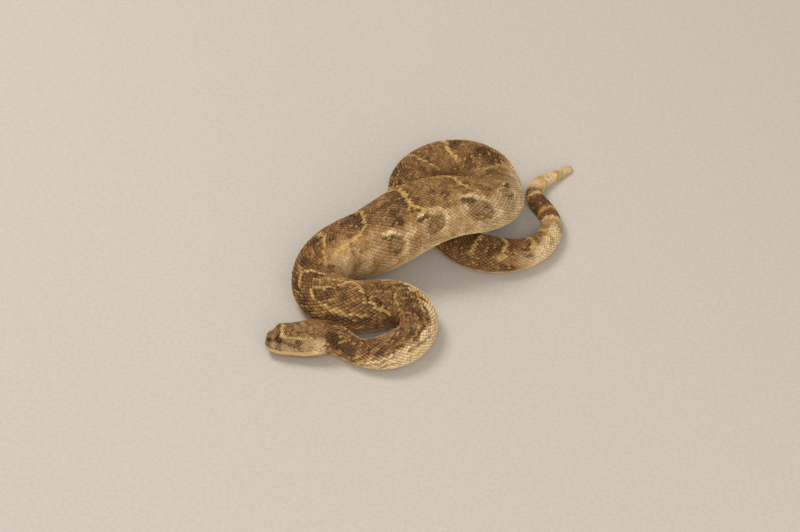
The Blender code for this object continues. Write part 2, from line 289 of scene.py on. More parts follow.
def to_m(s):
    return np.interp(s, FINE_S, FINE_M)


def grid_sections():
    """Half girth, and the out and up of every grid point on the right half of each section."""
    girth = np.zeros(ROWS)
    lip_share = np.zeros(ROWS)
    jaw_share = np.zeros(ROWS)
    out = np.zeros((ROWS, HALF_COLUMNS + 1))
    up = np.zeros((ROWS, HALF_COLUMNS + 1))
    columns = np.arange(HALF_COLUMNS + 1)
    for i, s in enumerate(S_AT):
        upper, lower = head_half(s) if s < HEAD_END else body_half(s)
        points = np.concatenate([upper, lower])
        reach = np.concatenate([[0.0], np.cumsum(np.hypot(*np.diff(points, axis=0).T))])
        girth[i] = reach[-1]
        lip = reach[len(upper) - 1] / reach[-1]
        jaw = reach[len(upper)] / reach[-1]
        fade = float(soft(s, HEAD_END, HEAD_END + LIP_FADE))
        lip_share[i] = lip + (LIP_COLUMN / HALF_COLUMNS - lip) * fade
        jaw_share[i] = max(jaw + (JAW_COLUMN / HALF_COLUMNS - jaw) * fade, lip_share[i] + LEAST_GROOVE)
        share = np.interp(columns, (0, LIP_COLUMN, JAW_COLUMN, HALF_COLUMNS),
                          (0, lip_share[i], jaw_share[i], 1))
        out[i] = np.interp(share, reach / reach[-1], points[:, 0])
        up[i] = np.interp(share, reach / reach[-1], points[:, 1])
    return girth, lip_share, jaw_share, out, up


HALF_GIRTH, LIP_SHARE, JAW_SHARE_AT, HALF_OUT, HALF_UP = grid_sections()
COLUMNS = 2 * HALF_COLUMNS + 1
HEAD_ROWS = 120                     # grid rows that hold the head


def grid_points():
    """World points of the whole grid. Column 0 is the belly line, and the left side comes first."""
    out = np.concatenate([-HALF_OUT[:, :0:-1], HALF_OUT], 1)
    up = np.concatenate([HALF_UP[:, :0:-1], HALF_UP], 1)
    heading = along(HEADING, S_AT)[:, None]
    x = along(SPINE_X, S_AT)[:, None] - np.sin(heading) * out
    y = along(SPINE_Y, S_AT)[:, None] + np.cos(heading) * out
    return np.stack([x, y, rise(S_AT)[:, None] + up], -1), out


def grid_normals(points):
    """Outward unit normals of the grid."""
    padded = np.concatenate([points[:, -3:-1], points, points[:, 1:3]], 1)
    across = padded[:, 4:] - padded[:, :-4]
    ahead = np.zeros_like(points)
    ahead[2:-2] = points[4:] - points[:-4]
    ahead[:2] = points[2:4] - points[:2]
    ahead[-2:] = points[-2:] - points[-4:-2]
    normal = np.cross(ahead, across)
    length = np.linalg.norm(normal, axis=-1, keepdims=True)
    return normal / np.maximum(length, 1e-12)


def set_ends(normal):
    """At the two poles the normal points straight along the spine."""
    for row, sign in ((0, -1), (ROWS - 1, 1)):
        heading = float(along(HEADING, S_AT[row]))
        normal[row] = (sign * math.cos(heading), sign * math.sin(heading), 0.0)
    return normal


POINTS, OUT = grid_points()
NORMALS = set_ends(grid_normals(POINTS))


def head_place(at_mm, side):
    """World point of a place on the head; side is +1 for the animal's left and -1 for its right."""
    ahead, out, up = (value * MM for value in at_mm)
    heading = float(along(HEADING, ahead))
    x = float(along(SPINE_X, ahead)) + math.sin(heading) * side * out
    y = float(along(SPINE_Y, ahead)) - math.cos(heading) * side * out
    return np.array([x, y, float(rise(ahead)) + up])


EYES = {side: head_place(EYE_AT_MM, side) for side in (1, -1)}
NOSTRILS = {side: head_place(NOSTRIL_AT_MM, side) for side in (1, -1)}


def add_relief():
    """Brow ridges over the eyes and a low rim round each nostril."""
    points, normals = POINTS[:HEAD_ROWS], NORMALS[:HEAD_ROWS]
    for side in (1, -1):
        distance = np.linalg.norm((points - EYES[side] - BROW_OFFSET) * BROW_AXES, axis=-1)
        points += normals * (BROW_HEIGHT * np.exp(-(distance / BROW_REACH) ** 2))[..., None]
        distance = np.linalg.norm(points - NOSTRILS[side], axis=-1) - NOSTRIL_RIM_RADIUS
        points += normals * (NOSTRIL_RIM_HEIGHT * np.exp(-(distance / NOSTRIL_RIM_REACH) ** 2))[..., None]


add_relief()
NORMALS = set_ends(grid_normals(POINTS))


def coat_depth(s, share):
    """How far the skin lies inside the solids: scale thickness on the back, less on the belly."""
    thick = SCALE_THICKNESS * lerp(ROW_PITCH_MM, s) * MM * lerp(PITCH_SHARE, s)
    return thick * (1 - PLATE_THINNING * soft(np.abs(share), *PLATE_EDGE))


def half_girth(m):
    return np.interp(m, M_AT, HALF_GIRTH)


def columns_of(m, arc):
    """Grid column, as a real number, and share of a distance around the body."""
    share = (arc / np.maximum(half_girth(m), 1e-6) + 1) % 2 - 1
    lip = np.interp(m, M_AT, LIP_SHARE)
    jaw = np.interp(m, M_AT, JAW_SHARE_AT)
    size = np.abs(share)
    above = size / lip * LIP_COLUMN
    groove = LIP_COLUMN + (size - lip) / (jaw - lip) * (JAW_COLUMN - LIP_COLUMN)
    below = JAW_COLUMN + (size - jaw) / (1 - jaw) * (HALF_COLUMNS - JAW_COLUMN)
    column = np.where(size < lip, above, np.where(size < jaw, groove, below))
    return HALF_COLUMNS + np.sign(share) * column, share


def share_of(column, lip, jaw):
    """Share at a column counted from the back line: the reverse of columns_of."""
    size = np.abs(column)
    above = size / LIP_COLUMN * lip
    groove = lip + (size - LIP_COLUMN) / (JAW_COLUMN - LIP_COLUMN) * (jaw - lip)
    below = jaw + (size - JAW_COLUMN) / (HALF_COLUMNS - JAW_COLUMN) * (1 - jaw)
    return np.sign(column) * np.where(size < LIP_COLUMN, above, np.where(size < JAW_COLUMN, groove, below))


def sample(grid, row, column):
    """Bilinear reading of a grid."""
    i = np.clip(np.floor(row).astype(int), 0, ROWS - 2)
    j = np.clip(np.floor(column).astype(int), 0, COLUMNS - 2)
    p = np.clip(row - i, 0, 1)[..., None]
    q = np.clip(column - j, 0, 1)[..., None]
    return ((1 - p) * (1 - q) * grid[i, j] + p * (1 - q) * grid[i + 1, j]
            + (1 - p) * q * grid[i, j + 1] + p * q * grid[i + 1, j + 1])


def on_skin(m, arc, lift):
    """World points at distance m from the snout, arc from the back line, and lift above the skin."""
    m = np.clip(m, 0, TOTAL)
    row = m / TOTAL * (ROWS - 1)
    column, share = columns_of(m, arc)
    depth = coat_depth(to_s(m), share)
    normal = sample(NORMALS, row, column)
    normal /= np.maximum(np.linalg.norm(normal, axis=-1, keepdims=True), 1e-9)
    return sample(POINTS, row, column) + normal * (lift - depth)[..., None]


def stretch(m, arc):
    """How much longer the surface is than the spine there, because of the bend."""
    row = np.clip(m, 0, TOTAL) / TOTAL * (ROWS - 1)
    column, _ = columns_of(m, arc)
    out = sample(OUT[..., None], row, column)[..., 0]
    return 1 - along(BEND, to_s(m)) * out


# ---------------- colours and markings

def srgb(red, green, blue):
    """Linear colour from the usual 0 to 255 values."""
    value = np.array([red, green, blue]) / 255
    return np.where(value <= 0.04045, value / 12.92, ((value + 0.055) / 1.055) ** 2.4)


PALE = srgb(216, 184, 126)
YELLOW = srgb(202, 162, 88)
TAN = srgb(158, 119, 72)
BROWN = srgb(102, 62, 40)
DARK = srgb(50, 23, 17)
GREY = srgb(130, 103, 68)
CREAM = srgb(240, 212, 166)
RUST = srgb(134, 88, 50)

# The middle of the back, in mm to the right of the highest line, as the body is rolled a little.
BACK_LINE_MM = (
    (50, -3), (110, -3), (167, 4), (214, 9), (248, 13), (301, 13), (336, 11), (374, 3), (419, 6),
    (452, 4), (555, 2), (590, -1), (665, 0), (724, 1), (772, 4), (797, 6), (826, 2), (908, 0),
)

# Lightness of the ground colour, 0 dark brown to 1 cream: mm from the snout, back, right flank, left flank.
GROUND = (
    (50, 0.40, 0.50, 0.58), (77, 0.40, 0.50, 0.62), (100, 0.52, 0.50, 1.00), (119, 0.60, 0.50, 1.14),
    (162, 0.58, 0.48, 1.14), (181, 0.50, 0.46, 0.94), (200, 0.48, 0.46, 0.64), (214, 0.55, 0.48, 0.56),
    (245, 0.55, 0.46, 0.54), (264, 0.46, 0.38, 0.62), (293, 0.52, 0.42, 0.86), (314, 0.54, 0.50, 0.76),
    (352, 0.54, 0.50, 0.77), (395, 0.60, 0.60, 0.79), (433, 0.68, 0.66, 0.84), (450, 0.72, 0.58, 0.92),
    (472, 0.69, 0.54, 0.96), (503, 0.63, 0.52, 0.94), (526, 0.50, 0.56, 0.62), (544, 0.54, 0.60, 0.58),
    (556, 0.64, 0.68, 0.58), (590, 0.60, 0.64, 0.46), (619, 0.46, 0.58, 0.40), (665, 0.42, 0.66, 0.46),
    (725, 0.40, 0.70, 0.48), (749, 0.42, 0.50, 0.72), (767, 0.58, 0.50, 1.05), (792, 0.74, 0.52, 1.05),
    (810, 0.76, 0.60, 1.00), (826, 0.48, 0.48, 0.64), (844, 0.46, 0.48, 0.60), (860, 0.92, 0.92, 0.94),
    (908, 0.98, 0.98, 0.98),
)
CREAM_FROM, CREAM_FULL = 0.58, 0.74 # where the flank passes into the cream of the belly
WOBBLE_MM, WOBBLE_SIZE_MM = 1.1, 4.0    # how far the markings wander, and over what distance
RAGGED_MM = 2.5                     # how ragged the front edges of the dark patches are
NAPE_MM = (50, 53)                  # the markings of the head pass into those of the body here
RAMP_AT = (0.0, 0.35, 0.70, 1.0)    # lightness of the four ground colours, dark brown to cream
FLANK_FROM, FLANK_FULL = 0.10, 0.42 # where the back passes into the flank, as shares from the back line
STREAKS_END_MM = (180, 215)         # the streaks of the first bend fade out here
STREAK_LEAN = (0.93, 0.37)          # cosine and sine of the angle between streaks and spine

# Pale chevrons: apex from the snout; right arm and left arm, each as reach (share of the half girth),
# how far forwards it has run by then, and how sharply it turns; width of the pale line, or 0 for none;
# depth of the dark patch in front, and its strength.
CHEVRONS = (
    (89, (0.22, 12, 2.0), (0.22, 12, 2.0), 0, 10, 0.35),
    (112, (0.22, 13, 2.0), (0.22, 13, 2.0), 0, 10, 0.35),
    (135, (0.22, 14, 2.0), (0.22, 14, 2.0), 0, 10, 0.35),
    (158, (0.24, 17, 2.0), (0.24, 17, 2.0), 0, 11, 0.4),
    (184, (0.26, 22, 2.2), (0.26, 22, 2.2), 1.2, 13, 0.5),
    (214, (0.32, 19, 1.2), (0.30, -10, 4.0), 2.0, 14, 0.85),
    (250, (0.24, 36, 2.2), (0.32, 25, 0.9), 2.1, 14, 0.85),
    (266, (0.14, 10, 2.0), (0.31, 42, 4.0), 1.8, 11, 0.7),
    (302, (0.32, 26, 2.2), (0.32, 26, 2.2), 2.0, 13, 0.7),
    (334, (0.25, 20, 2.5), (0.37, 36, 5.0), 2.8, 12, 0.95),
    (370, (0.20, 10, 2.0), (0.33, -22, 2.0), 3.0, 9, 0.95),
    (417, (0.22, 14, 2.0), (0.16, -16, 1.5), 2.6, 12, 0.7),
    (454, (0.30, 20, 2.0), (0.30, 20, 2.0), 0, 12, 0.25),
    (490, (0.36, 16, 1.8), (0.36, 16, 1.8), 0, 12, 0.4),
    (534, (0.34, 6, 1.6), (0.34, 6, 1.6), 0, 12, 0.8),
    (558, (0.22, 14, 1.5), (0.40, -3, 1.0), 3.2, 8, 0.7),
    (586, (0.34, 12, 2.0), (0.40, 0, 1.0), 2.0, 7, 0.35),
    (622, (0.60, 12, 1.5), (0.60, 12, 1.5), 3.0, 14, 0.6),
    (653, (0.60, 14, 1.4), (0.60, 14, 1.4), 3.0, 14, 0.7),
    (686, (0.62, 15, 1.4), (0.62, 15, 1.4), 3.0, 14, 0.7),
    (718, (0.34, 6, 1.5), (0.34, 2, 1.5), 3.0, 14, 0.75),
    (743, (0.34, 8, 1.5), (0.36, 6, 1.3), 3.0, 14, 0.65),
    (769, (0.36, 10, 1.5), (0.34, 9, 2.0), 3.4, 12, 0.5),
    (789, (0.42, 12, 1.5), (0.48, 9, 2.0), 3.4, 8, 0.35),
    (811, (0.50, 6, 1.5), (0.62, 12, 3.0), 2.8, 5, 0.2),
)
# Bands round the tail: from the snout, half-width, both in mm, and colour.
TAIL_BANDS = (
    (810, 2.6, PALE), (817, 4.6, BROWN), (825, 2.4, YELLOW), (836, 8.0, DARK * 0.6 + BROWN * 0.4),
    (848, 2.2, PALE), (853, 3.2, GREY), (858, 2.6, PALE), (872, 2.4, YELLOW), (889, 2.4, YELLOW),
)
OCELLI_SHIFT_MM = 4                 # those on the right side lie this much further back
# Eye-like marks on the flanks: from the snout; share of the half girth from the back line; size; how far
# their field lies behind the spot, in mm; strength; side, 1 right, -1 left or 0 both.
OCELLI = (
    (219, 0.58, 0.8, 6, 0.6, 0), (251, 0.48, 0.7, 6, 0.6, 1), (314, 0.46, 0.9, 4, 0.3, 0),
    (349, 0.375, 1.0, 6, 1.0, 0), (380, 0.31, 1.1, 9, 1.0, 0), (420, 0.28, 1.1, 7, 1.0, 0),
    (460, 0.20, 0.7, -12, 0.8, -1), (491, 0.44, 0.8, 6, 0.7, -1), (526, 0.50, 0.7, 6, 0.7, -1),
)
# Dark patches: from the snout, to the right of the highest line, half-length, half-width, in mm; strength.
PATCHES = (
    (62, -10, 11, 8, 1.0), (57, 6, 4, 4, 0.5), (76, -10, 8, 6, 0.95), (84, 1.5, 5, 3, 0.8),
    (93, 6, 5, 3, 0.6), (100, -12, 5, 3, 0.8), (102, -6, 4, 3, 0.8), (111, -2, 4, 3.5, 0.85),
    (112, -11, 5, 3, 0.75), (123, 5, 5, 3.5, 0.8), (139, 3, 6, 3, 0.65), (128, -5, 5, 2.5, 0.7),
    (133, -17, 6, 1.8, 0.5), (134, -8, 6, 2.5, 0.75), (145, -10, 4, 2, 0.7), (160, 8, 8, 5, 0.75),
    (151, 2, 7, 5, 0.8), (148, 11, 4, 3, 0.7), (157, 6, 4, 3, 0.7), (166, 5, 5, 4, 0.8),
    (180, -4, 6, 4, 0.6), (198, 31, 6, 5, 0.8), (196, 3, 6, 5, 0.6), (216, 31, 8, 5, 0.75),
    (228, 29, 6, 4, 0.8), (205, 15, 5, 4, 0.8), (227, 11, 5, 3.5, 0.8), (219, 16, 4, 3, 0.6),
    (238, 14, 6, 4, 0.6), (263, 24, 8, 5, 0.85), (252, 28, 6, 5, 0.8), (267, -12, 8, 4, 0.6),
    (277, 12, 6, 4, 0.8), (295, 11, 5, 4, 0.75), (303, -1, 6, 2.5, 0.75), (273, -16, 3, 2.5, 0.7),
    (327, 2, 7, 8, 0.75), (318, -8, 5, 4, 0.7), (274, 7, 4, 3, 0.7), (327, 17, 5, 4, 0.75),
    (320, 9, 6, 4, 0.7), (344, 4, 4, 3, 0.6), (354, 3, 6, 4, 0.75), (363, 5, 6, 9, 0.6),
    (357, -9, 5, 5, 0.9), (359, -19, 7, 5, 0.9), (378, -7, 4, 4, 0.75), (392, -3, 5, 4, 0.7),
    (402, -9, 4, 4, 0.75), (426, 5, 5, 4, 0.7), (440, -4, 5, 3, 0.5), (494, 2, 6, 4, 0.5),
    (515, -5, 12, 9, 0.8), (515, 15, 5, 5, 0.6), (526, -3, 6, 10, 0.6), (552, -6, 5, 10, 0.75),
    (573, -3, 3, 5, 0.5), (579, 8, 3, 5, 0.5), (593, 11, 4, 6, 0.6), (605, -4, 4, 6, 0.5),
    (603, -14, 8, 6, 0.75), (617, -16, 7, 6, 0.8), (712, -11, 6, 6, 0.6), (731, -8, 5, 7, 0.6),
    (741, -24, 8, 5, 0.7), (757, -10, 5, 6, 0.6),
)
# Pale lines: width, strength, and points (mm from the snout, mm to the right of the highest line).
PALE_LINES = (
    (1.6, 0.5, (506, -14), (502, -4), (500, 6), (505, 15)),
    (1.6, 0.7, (62, 7), (84, 8), (108, 13), (124, 14)),
    (1.6, 0.6, (283, -26), (272, -24), (262, -30)), (1.6, 0.5, (296, -30), (283, -34), (272, -36)),
)
# Grey patches, as the dark ones.
GREY_PATCHES = ((446, -24, 9, 10, 0.4), (803, -9, 6, 7, 0.7))


def blend(color, *layers):
    """Colours with layers laid over them in turn, each a colour and how much of it shows."""
    for tint, amount in layers:
        color = color + (tint - color) * np.clip(amount, 0, 1)[:, None]
    return color


def oval(x, y, inner=0.6, outer=1.2):
    """1 inside an oval and 0 outside it. x and y are distances as shares of its half-axes."""
    return 1 - soft(np.hypot(x, y), inner, outer)


CLOUD_WAVES = 14


def clouds(s_mm, arc_mm, size, seed):
    """Soft irregular variation between about -1 and 1, with lumps of about the given size in mm."""
    rng = np.random.default_rng(SEED + seed)
    total = np.zeros(len(s_mm))
    for _ in range(CLOUD_WAVES):
        turn = rng.uniform(0, 2 * math.pi)
        pace = rng.uniform(0.6, 1.6) * math.pi / size
        wave = pace * (math.cos(turn) * s_mm + math.sin(turn) * arc_mm)
        total += np.sin(wave + rng.uniform(0, 2 * math.pi))
    return total / 5


def body_ground(s_mm, arc_mm, share, roll):
    """Ground colour: its lightness on the back and on each flank, with cream towards the belly."""
    at, back, right, left = np.transpose(GROUND)
    value = np.interp(s_mm, at, back)
    value += (np.interp(s_mm, at, right) - value) * soft(share - roll, FLANK_FROM, FLANK_FULL)
    value += (np.interp(s_mm, at, left) - value) * soft(roll - share, FLANK_FROM, FLANK_FULL)
    value += 0.07 * clouds(s_mm, arc_mm, 9.0, 53)
    lean, slope = STREAK_LEAN
    streak = clouds(0.25 * (lean * s_mm + slope * arc_mm), lean * arc_mm - slope * s_mm, 2.4, 55)
    streak = 0.18 * soft(-streak, 0.1, 0.7) - 0.26 * soft(streak, 0.1, 0.7)
    value += streak * (1 - soft(s_mm, *STREAKS_END_MM))
    ramp = np.array([DARK, BROWN, TAN, CREAM])
    color = np.stack([np.interp(value, RAMP_AT, ramp[:, i]) for i in range(3)], -1)
    return blend(color, (CREAM, 0.85 * soft(np.abs(share), CREAM_FROM, CREAM_FULL)))


def draw_chevrons(color, s_mm, share, roll, girth_mm, cloud):
    """Pale chevrons, each with a dark patch in front of it and a thin dark edge behind it.

    With a turn above 1 an arm starts square across the back, and then runs forwards faster and faster.
    """
    spread = np.abs(share - roll)
    on_right = share > roll
    for apex, right_arm, left_arm, pale, deep, strength in CHEVRONS:
        reach, run, turn = (np.where(on_right, one, other) for one, other in zip(right_arm, left_arm))
        ahead = s_mm - (apex - run * (spread / reach) ** turn)
        arm = 1 - soft(spread, reach * 0.97, reach * 1.12)
        core = 1 - soft(spread, np.minimum(reach * 0.45, 0.15), np.minimum(reach * 0.95, 0.30))
        ragged = ahead + RAGGED_MM * cloud
        front = 0.40 * soft(ragged, -deep - 4, -deep + 4) + 0.60 * soft(ragged, -9, -3)
        front *= 1 - soft(ahead, -pale * 0.8, 0.2 - pale * 0.2)
        color = blend(color, (DARK, strength * core * front))
        if pale:
            slope = run * turn / (reach * girth_mm) * (np.minimum(spread, reach) / reach) ** (turn - 1)
            off = np.abs(ahead) / np.sqrt(1 + slope ** 2)
            line = 1 - soft(off, pale * 0.35, pale * 0.70)
            behind = soft(ahead, pale * 0.5, pale) * (1 - soft(ahead, pale + 1.0, pale + 4.0))
            color = blend(color, (PALE * 0.3 + YELLOW * 0.7, 0.92 * arm * line),
                          (DARK, 0.4 * strength * core * behind))
    return color


def draw_pale_lines(color, s_mm, arc_mm):
    """Thin pale lines through the points of PALE_LINES."""
    for width, strength, *points in PALE_LINES:
        nearest = np.full(len(s_mm), np.inf)
        for (s0, a0), (s1, a1) in zip(points[:-1], points[1:]):
            run, side = s1 - s0, a1 - a0
            t = np.clip(((s_mm - s0) * run + (arc_mm - a0) * side) / (run ** 2 + side ** 2), 0, 1)
            nearest = np.minimum(nearest, np.hypot(s_mm - s0 - t * run, arc_mm - a0 - t * side))
        color = blend(color, (PALE * 0.7 + CREAM * 0.3, strength * (1 - soft(nearest, width * 0.3, width))))
    return color


def draw_ocelli(color, s_mm, share, roll, girth_mm):
    """A dark spot under a pale bar, and a grey-brown field beside and below it with a pale rim.

    ahead and down run from the middle of the spot, in mm for an ocellus of size 1.
    """
    for at, middle, size, lean, strength, only in OCELLI:
        for side in (1, -1):
            if only == -side:
                continue
            down = ((share - roll) * side - middle) * girth_mm / size
            ahead = (s_mm - at - OCELLI_SHIFT_MM * (side > 0)) / size
            x, y = (ahead - lean) / 8.5, (down - 8.5) / 10.0
            rim = 1 - soft(np.abs(np.hypot(x, y) - 1.10), 0.08, 0.20)
            upper = soft(0.8 * x * math.copysign(1, lean) - 0.6 * y, -0.30, 0.20)
            color = blend(color, (GREY, 0.68 * strength * oval(x, y, 0.80, 1.0)),
                          (CREAM, 0.55 * strength * rim * upper),
                          (DARK, 0.85 * strength * oval(ahead / 6.5, down / 3.2, outer=1.1)),
                          (CREAM, 0.9 * strength * oval((ahead - 1.5) / 6.5, (down + 4.2) / 1.6)),
                          (BROWN, 0.5 * strength * oval((ahead - lean) / 5.0, (down - 14) / 3.0)))
    return color


def draw_patches(color, s_mm, arc_mm):
    """Grey patches, and the dark ones over them."""
    for tint, patches in ((GREY, GREY_PATCHES), (DARK, PATCHES)):
        for at, right, length, width, strength in patches:
            spot = oval((s_mm - at) / length, (arc_mm - right) / width, outer=1.15)
            color = blend(color, (tint, strength * spot))
    return color


def draw_tail(color, s_mm, share):
    """Bands across the tail."""
    for at, half, tint in TAIL_BANDS:
        ahead = s_mm - at + 3.0 * np.abs(share)
        color = blend(color, (tint, 0.9 * (1 - soft(np.abs(ahead), half * 0.6, half * 1.2))))
    return color


def head_colors(s_mm, around):
    """Markings of the head; around is 0 on the crown, 1 at the lip and 2 under the chin."""
    size = np.abs(around)

    def from_snout(low, high):
        return soft(s_mm, low, high)

    def outside(low, high):
        return soft(size, low, high)

    def spot(place, at, middle, length, width):
        return oval((s_mm - at) / length, (place - middle) / width, 0.55, 1.15)

    crown = 1 - soft(size - 0.018 * np.maximum(0, s_mm - 37), 0.34, 0.46)
    patchy = clouds(s_mm, 22 * around, 3.2, 57)
    across_brows = 1 - soft(np.abs(s_mm - 15.2 + 1.5 * size), 0.7, 1.6)
    before_brows = 1 - soft(np.abs(s_mm - 12.6 + 1.5 * size), 0.5, 1.3)
    temple = 1 - soft(np.abs(size - 0.38 - 0.004 * (s_mm - 16)), 0.02, 0.06)
    behind_eye = 1 - soft(np.abs(size - 0.54 - 0.016 * (s_mm - 15)), 0.04, 0.10)
    below_eye = 1 - soft(np.abs(s_mm - 10.5 - 7 * (size - 0.6)), 1.0, 2.2)
    return blend(
        np.tile(TAN * 0.85 + BROWN * 0.15, (len(s_mm), 1)),
        (GREY * 0.4 + TAN * 0.6, 0.8 * (1 - from_snout(9, 15))),
        (BROWN, 0.45 * from_snout(16, 19) * (1 - from_snout(24, 30)) * crown),
        (RUST, 0.55 * from_snout(34, 40) * crown),
        (TAN * 0.5 + CREAM * 0.5, 0.8 * outside(0.42, 0.58)),
        (BROWN * 0.5 + GREY * 0.5, 0.45 * soft(patchy, 0.1, 0.7) * crown),
        (PALE, 0.28 * soft(-patchy, 0.2, 0.8) * crown),
        (PALE, 0.85 * across_brows * (1 - outside(0.34, 0.42))),
        (BROWN, 0.7 * before_brows * (1 - outside(0.30, 0.40))),
        (PALE, 0.75 * temple * from_snout(14, 17) * (1 - from_snout(37, 41))),
        (BROWN * 0.7 + RUST * 0.3, 0.8 * behind_eye * from_snout(13, 16) * (1 - from_snout(28, 34))),
        (BROWN, 0.5 * below_eye * outside(0.58, 0.64) * (1 - outside(0.86, 0.95))),
        (DARK, 0.8 * spot(size, 28.5, 0.57, 4.5, 0.11)),
        (DARK, 0.6 * spot(around, 31, -0.25, 5.5, 0.08)),
        (DARK, 0.35 * spot(around, 27, 0.14, 3.0, 0.08)),
        (BROWN, 0.4 * spot(size, 40, 0.74, 5.0, 0.06)),
        (CREAM * 0.35 + TAN * 0.65, 0.8 * outside(0.82, 0.95)),
        (CREAM * 0.8 + TAN * 0.2, 0.7 * from_snout(38, 44) * (1 - from_snout(51, 53)) * outside(0.52, 0.70)),
    )


def markings(m, arc):
    """Colour of the animal at each place on its surface."""
    m = np.clip(np.ravel(m), 0, TOTAL)
    s_mm = to_s(m) / MM
    girth_mm = half_girth(m) / MM
    column, share = columns_of(m, np.ravel(arc))
    least_mm = np.maximum(girth_mm, 4)
    roll = np.interp(s_mm, *np.transpose(BACK_LINE_MM)) / least_mm
    arc_mm = share * girth_mm
    s_mm = s_mm + WOBBLE_MM * clouds(s_mm, arc_mm, WOBBLE_SIZE_MM, 51)
    arc_mm = arc_mm + WOBBLE_MM * clouds(s_mm, arc_mm, WOBBLE_SIZE_MM, 52)
    share = arc_mm / least_mm
    color = body_ground(s_mm, arc_mm, share, roll)
    color = draw_ocelli(color, s_mm, share, roll, girth_mm)
    color = draw_patches(color, s_mm, arc_mm)
    color = draw_chevrons(color, s_mm, share, roll, girth_mm, clouds(s_mm, arc_mm, 3.0, 54))
    color = draw_pale_lines(color, s_mm, arc_mm)
    color = draw_tail(color, s_mm, share)
    column = column - HALF_COLUMNS
    size = np.abs(column)
    below_lip = (size - LIP_COLUMN) / (HALF_COLUMNS - LIP_COLUMN)
    around = np.sign(column) * np.where(size < LIP_COLUMN, size / LIP_COLUMN, 1 + below_lip)
    behind_head = soft(s_mm + 1.2 * clouds(s_mm, arc_mm, 3.0, 56), *NAPE_MM)
    return blend(color, (head_colors(s_mm, around), 1 - behind_head))


# ---------------- meshes

def grid_faces(rows, columns):
    """Four-sided faces over a grid of points."""
    faces = []
    for i in range(rows - 1):
        for j in range(columns - 1):
            a = i * columns + j
            faces.append((a, a + columns, a + columns + 1, a + 1))
    return faces


def scale_faces(rows, columns, filled):
    """Faces of one closed scale: domed top, underside, and both ends.

    The underside is one strip from edge to edge or, if filled, a grid with inner points of its own.
    """
    faces = grid_faces(rows, columns)
    if filled:
        under = np.arange(rows * columns).reshape(rows, columns)
        under[1:-1, 1:-1] = np.arange((rows - 2) * (columns - 2)).reshape(rows - 2, -1) + rows * columns
        under = under.ravel()
        return faces + [tuple(under[[a, d, c, b]]) for a, b, c, d in faces]
    for first in range(0, (rows - 1) * columns, columns):
        last = first + columns - 1
        faces.append((first, last, last + columns, first + columns))
    faces.append(tuple(range(columns)))
    faces.append(tuple(range(rows * columns - 1, (rows - 1) * columns - 1, -1)))
    return faces


SCALE_FACES = scale_faces(len(SCALE_ALONG), len(SCALE_ACROSS), False)
PLATE_FACES = scale_faces(len(SCALE_ALONG), len(PLATE_ACROSS), True)


def tube_faces(n, k):
    """Faces of n rings of k points, closed at both ends by fans, as one flat list and their lengths.

    The middles of the two fans are the two points after those of the rings.
    """
    i, j = np.meshgrid(np.arange(n - 1), np.arange(k), indexing="ij")
    after = (j + 1) % k
    quads = np.stack([i * k + j, (i + 1) * k + j, (i + 1) * k + after, i * k + after], -1)
    j = j[0]
    after = after[0]
    last = (n - 1) * k
    first_fan = np.stack([np.full(k, n * k), j, after], -1)
    last_fan = np.stack([last + after, last + j, np.full(k, n * k + 1)], -1)
    loops = np.concatenate([quads.ravel(), first_fan.ravel(), last_fan.ravel()])
    return loops, np.repeat((4, 3), ((n - 1) * k, 2 * k))


def tube_uv(u, k):
    """Bake map of the faces of a tube with its rings at u, from 0 at one end to 1 at the other."""
    i, j = np.meshgrid(np.arange(len(u) - 1), np.arange(k), indexing="ij")
    u0, u1, v0, v1 = u[i], u[i + 1], j / k, (j + 1) / k
    quads = np.stack([u0, v0, u1, v0, u1, v1, u0, v1], -1)
    v0, v1 = v0[0], v1[0]
    middle = (v0 + v1) / 2
    first, last = np.full(k, u[0]), np.full(k, u[-1])
    first_fan = np.stack([np.zeros(k), middle, first, v0, first, v1], -1)
    last_fan = np.stack([last, v1, last, v0, np.ones(k), middle], -1)
    return np.concatenate([part.reshape(-1, 2) for part in (quads, first_fan, last_fan)])


SHARP_ANGLE = math.radians(55)


def make_mesh(name, points, faces, attributes, uv):
    """A mesh object from arrays: faces as one flat list with their lengths."""
    loops, lengths = faces
    mesh = bpy.data.meshes.new(name)
    mesh.vertices.add(len(points))
    mesh.vertices.foreach_set("co", np.ascontiguousarray(points, dtype=np.float32).ravel())
    mesh.loops.add(len(loops))
    mesh.loops.foreach_set("vertex_index", np.ascontiguousarray(loops, dtype=np.int32))
    mesh.polygons.add(len(lengths))
    starts = np.concatenate([[0], np.cumsum(lengths)[:-1]]).astype(np.int32)
    mesh.polygons.foreach_set("loop_start", starts)
    mesh.update(calc_edges=True)
    mesh.validate()
    for label, (kind, values) in attributes.items():
        layer = mesh.attributes.new(label, kind, "POINT")
        key = "color" if kind == "FLOAT_COLOR" else "vector"
        layer.data.foreach_set(key, np.ascontiguousarray(values, dtype=np.float32).ravel())
    bake = mesh.uv_layers.new(name="OFBake")
    bake.uv.foreach_set("vector", np.ascontiguousarray(uv, dtype=np.float32).ravel())
    mesh.shade_smooth()
    mesh.set_sharp_from_angle(angle=SHARP_ANGLE)
    item = bpy.data.objects.new(name, mesh)
    bpy.context.scene.collection.objects.link(item)
    return item


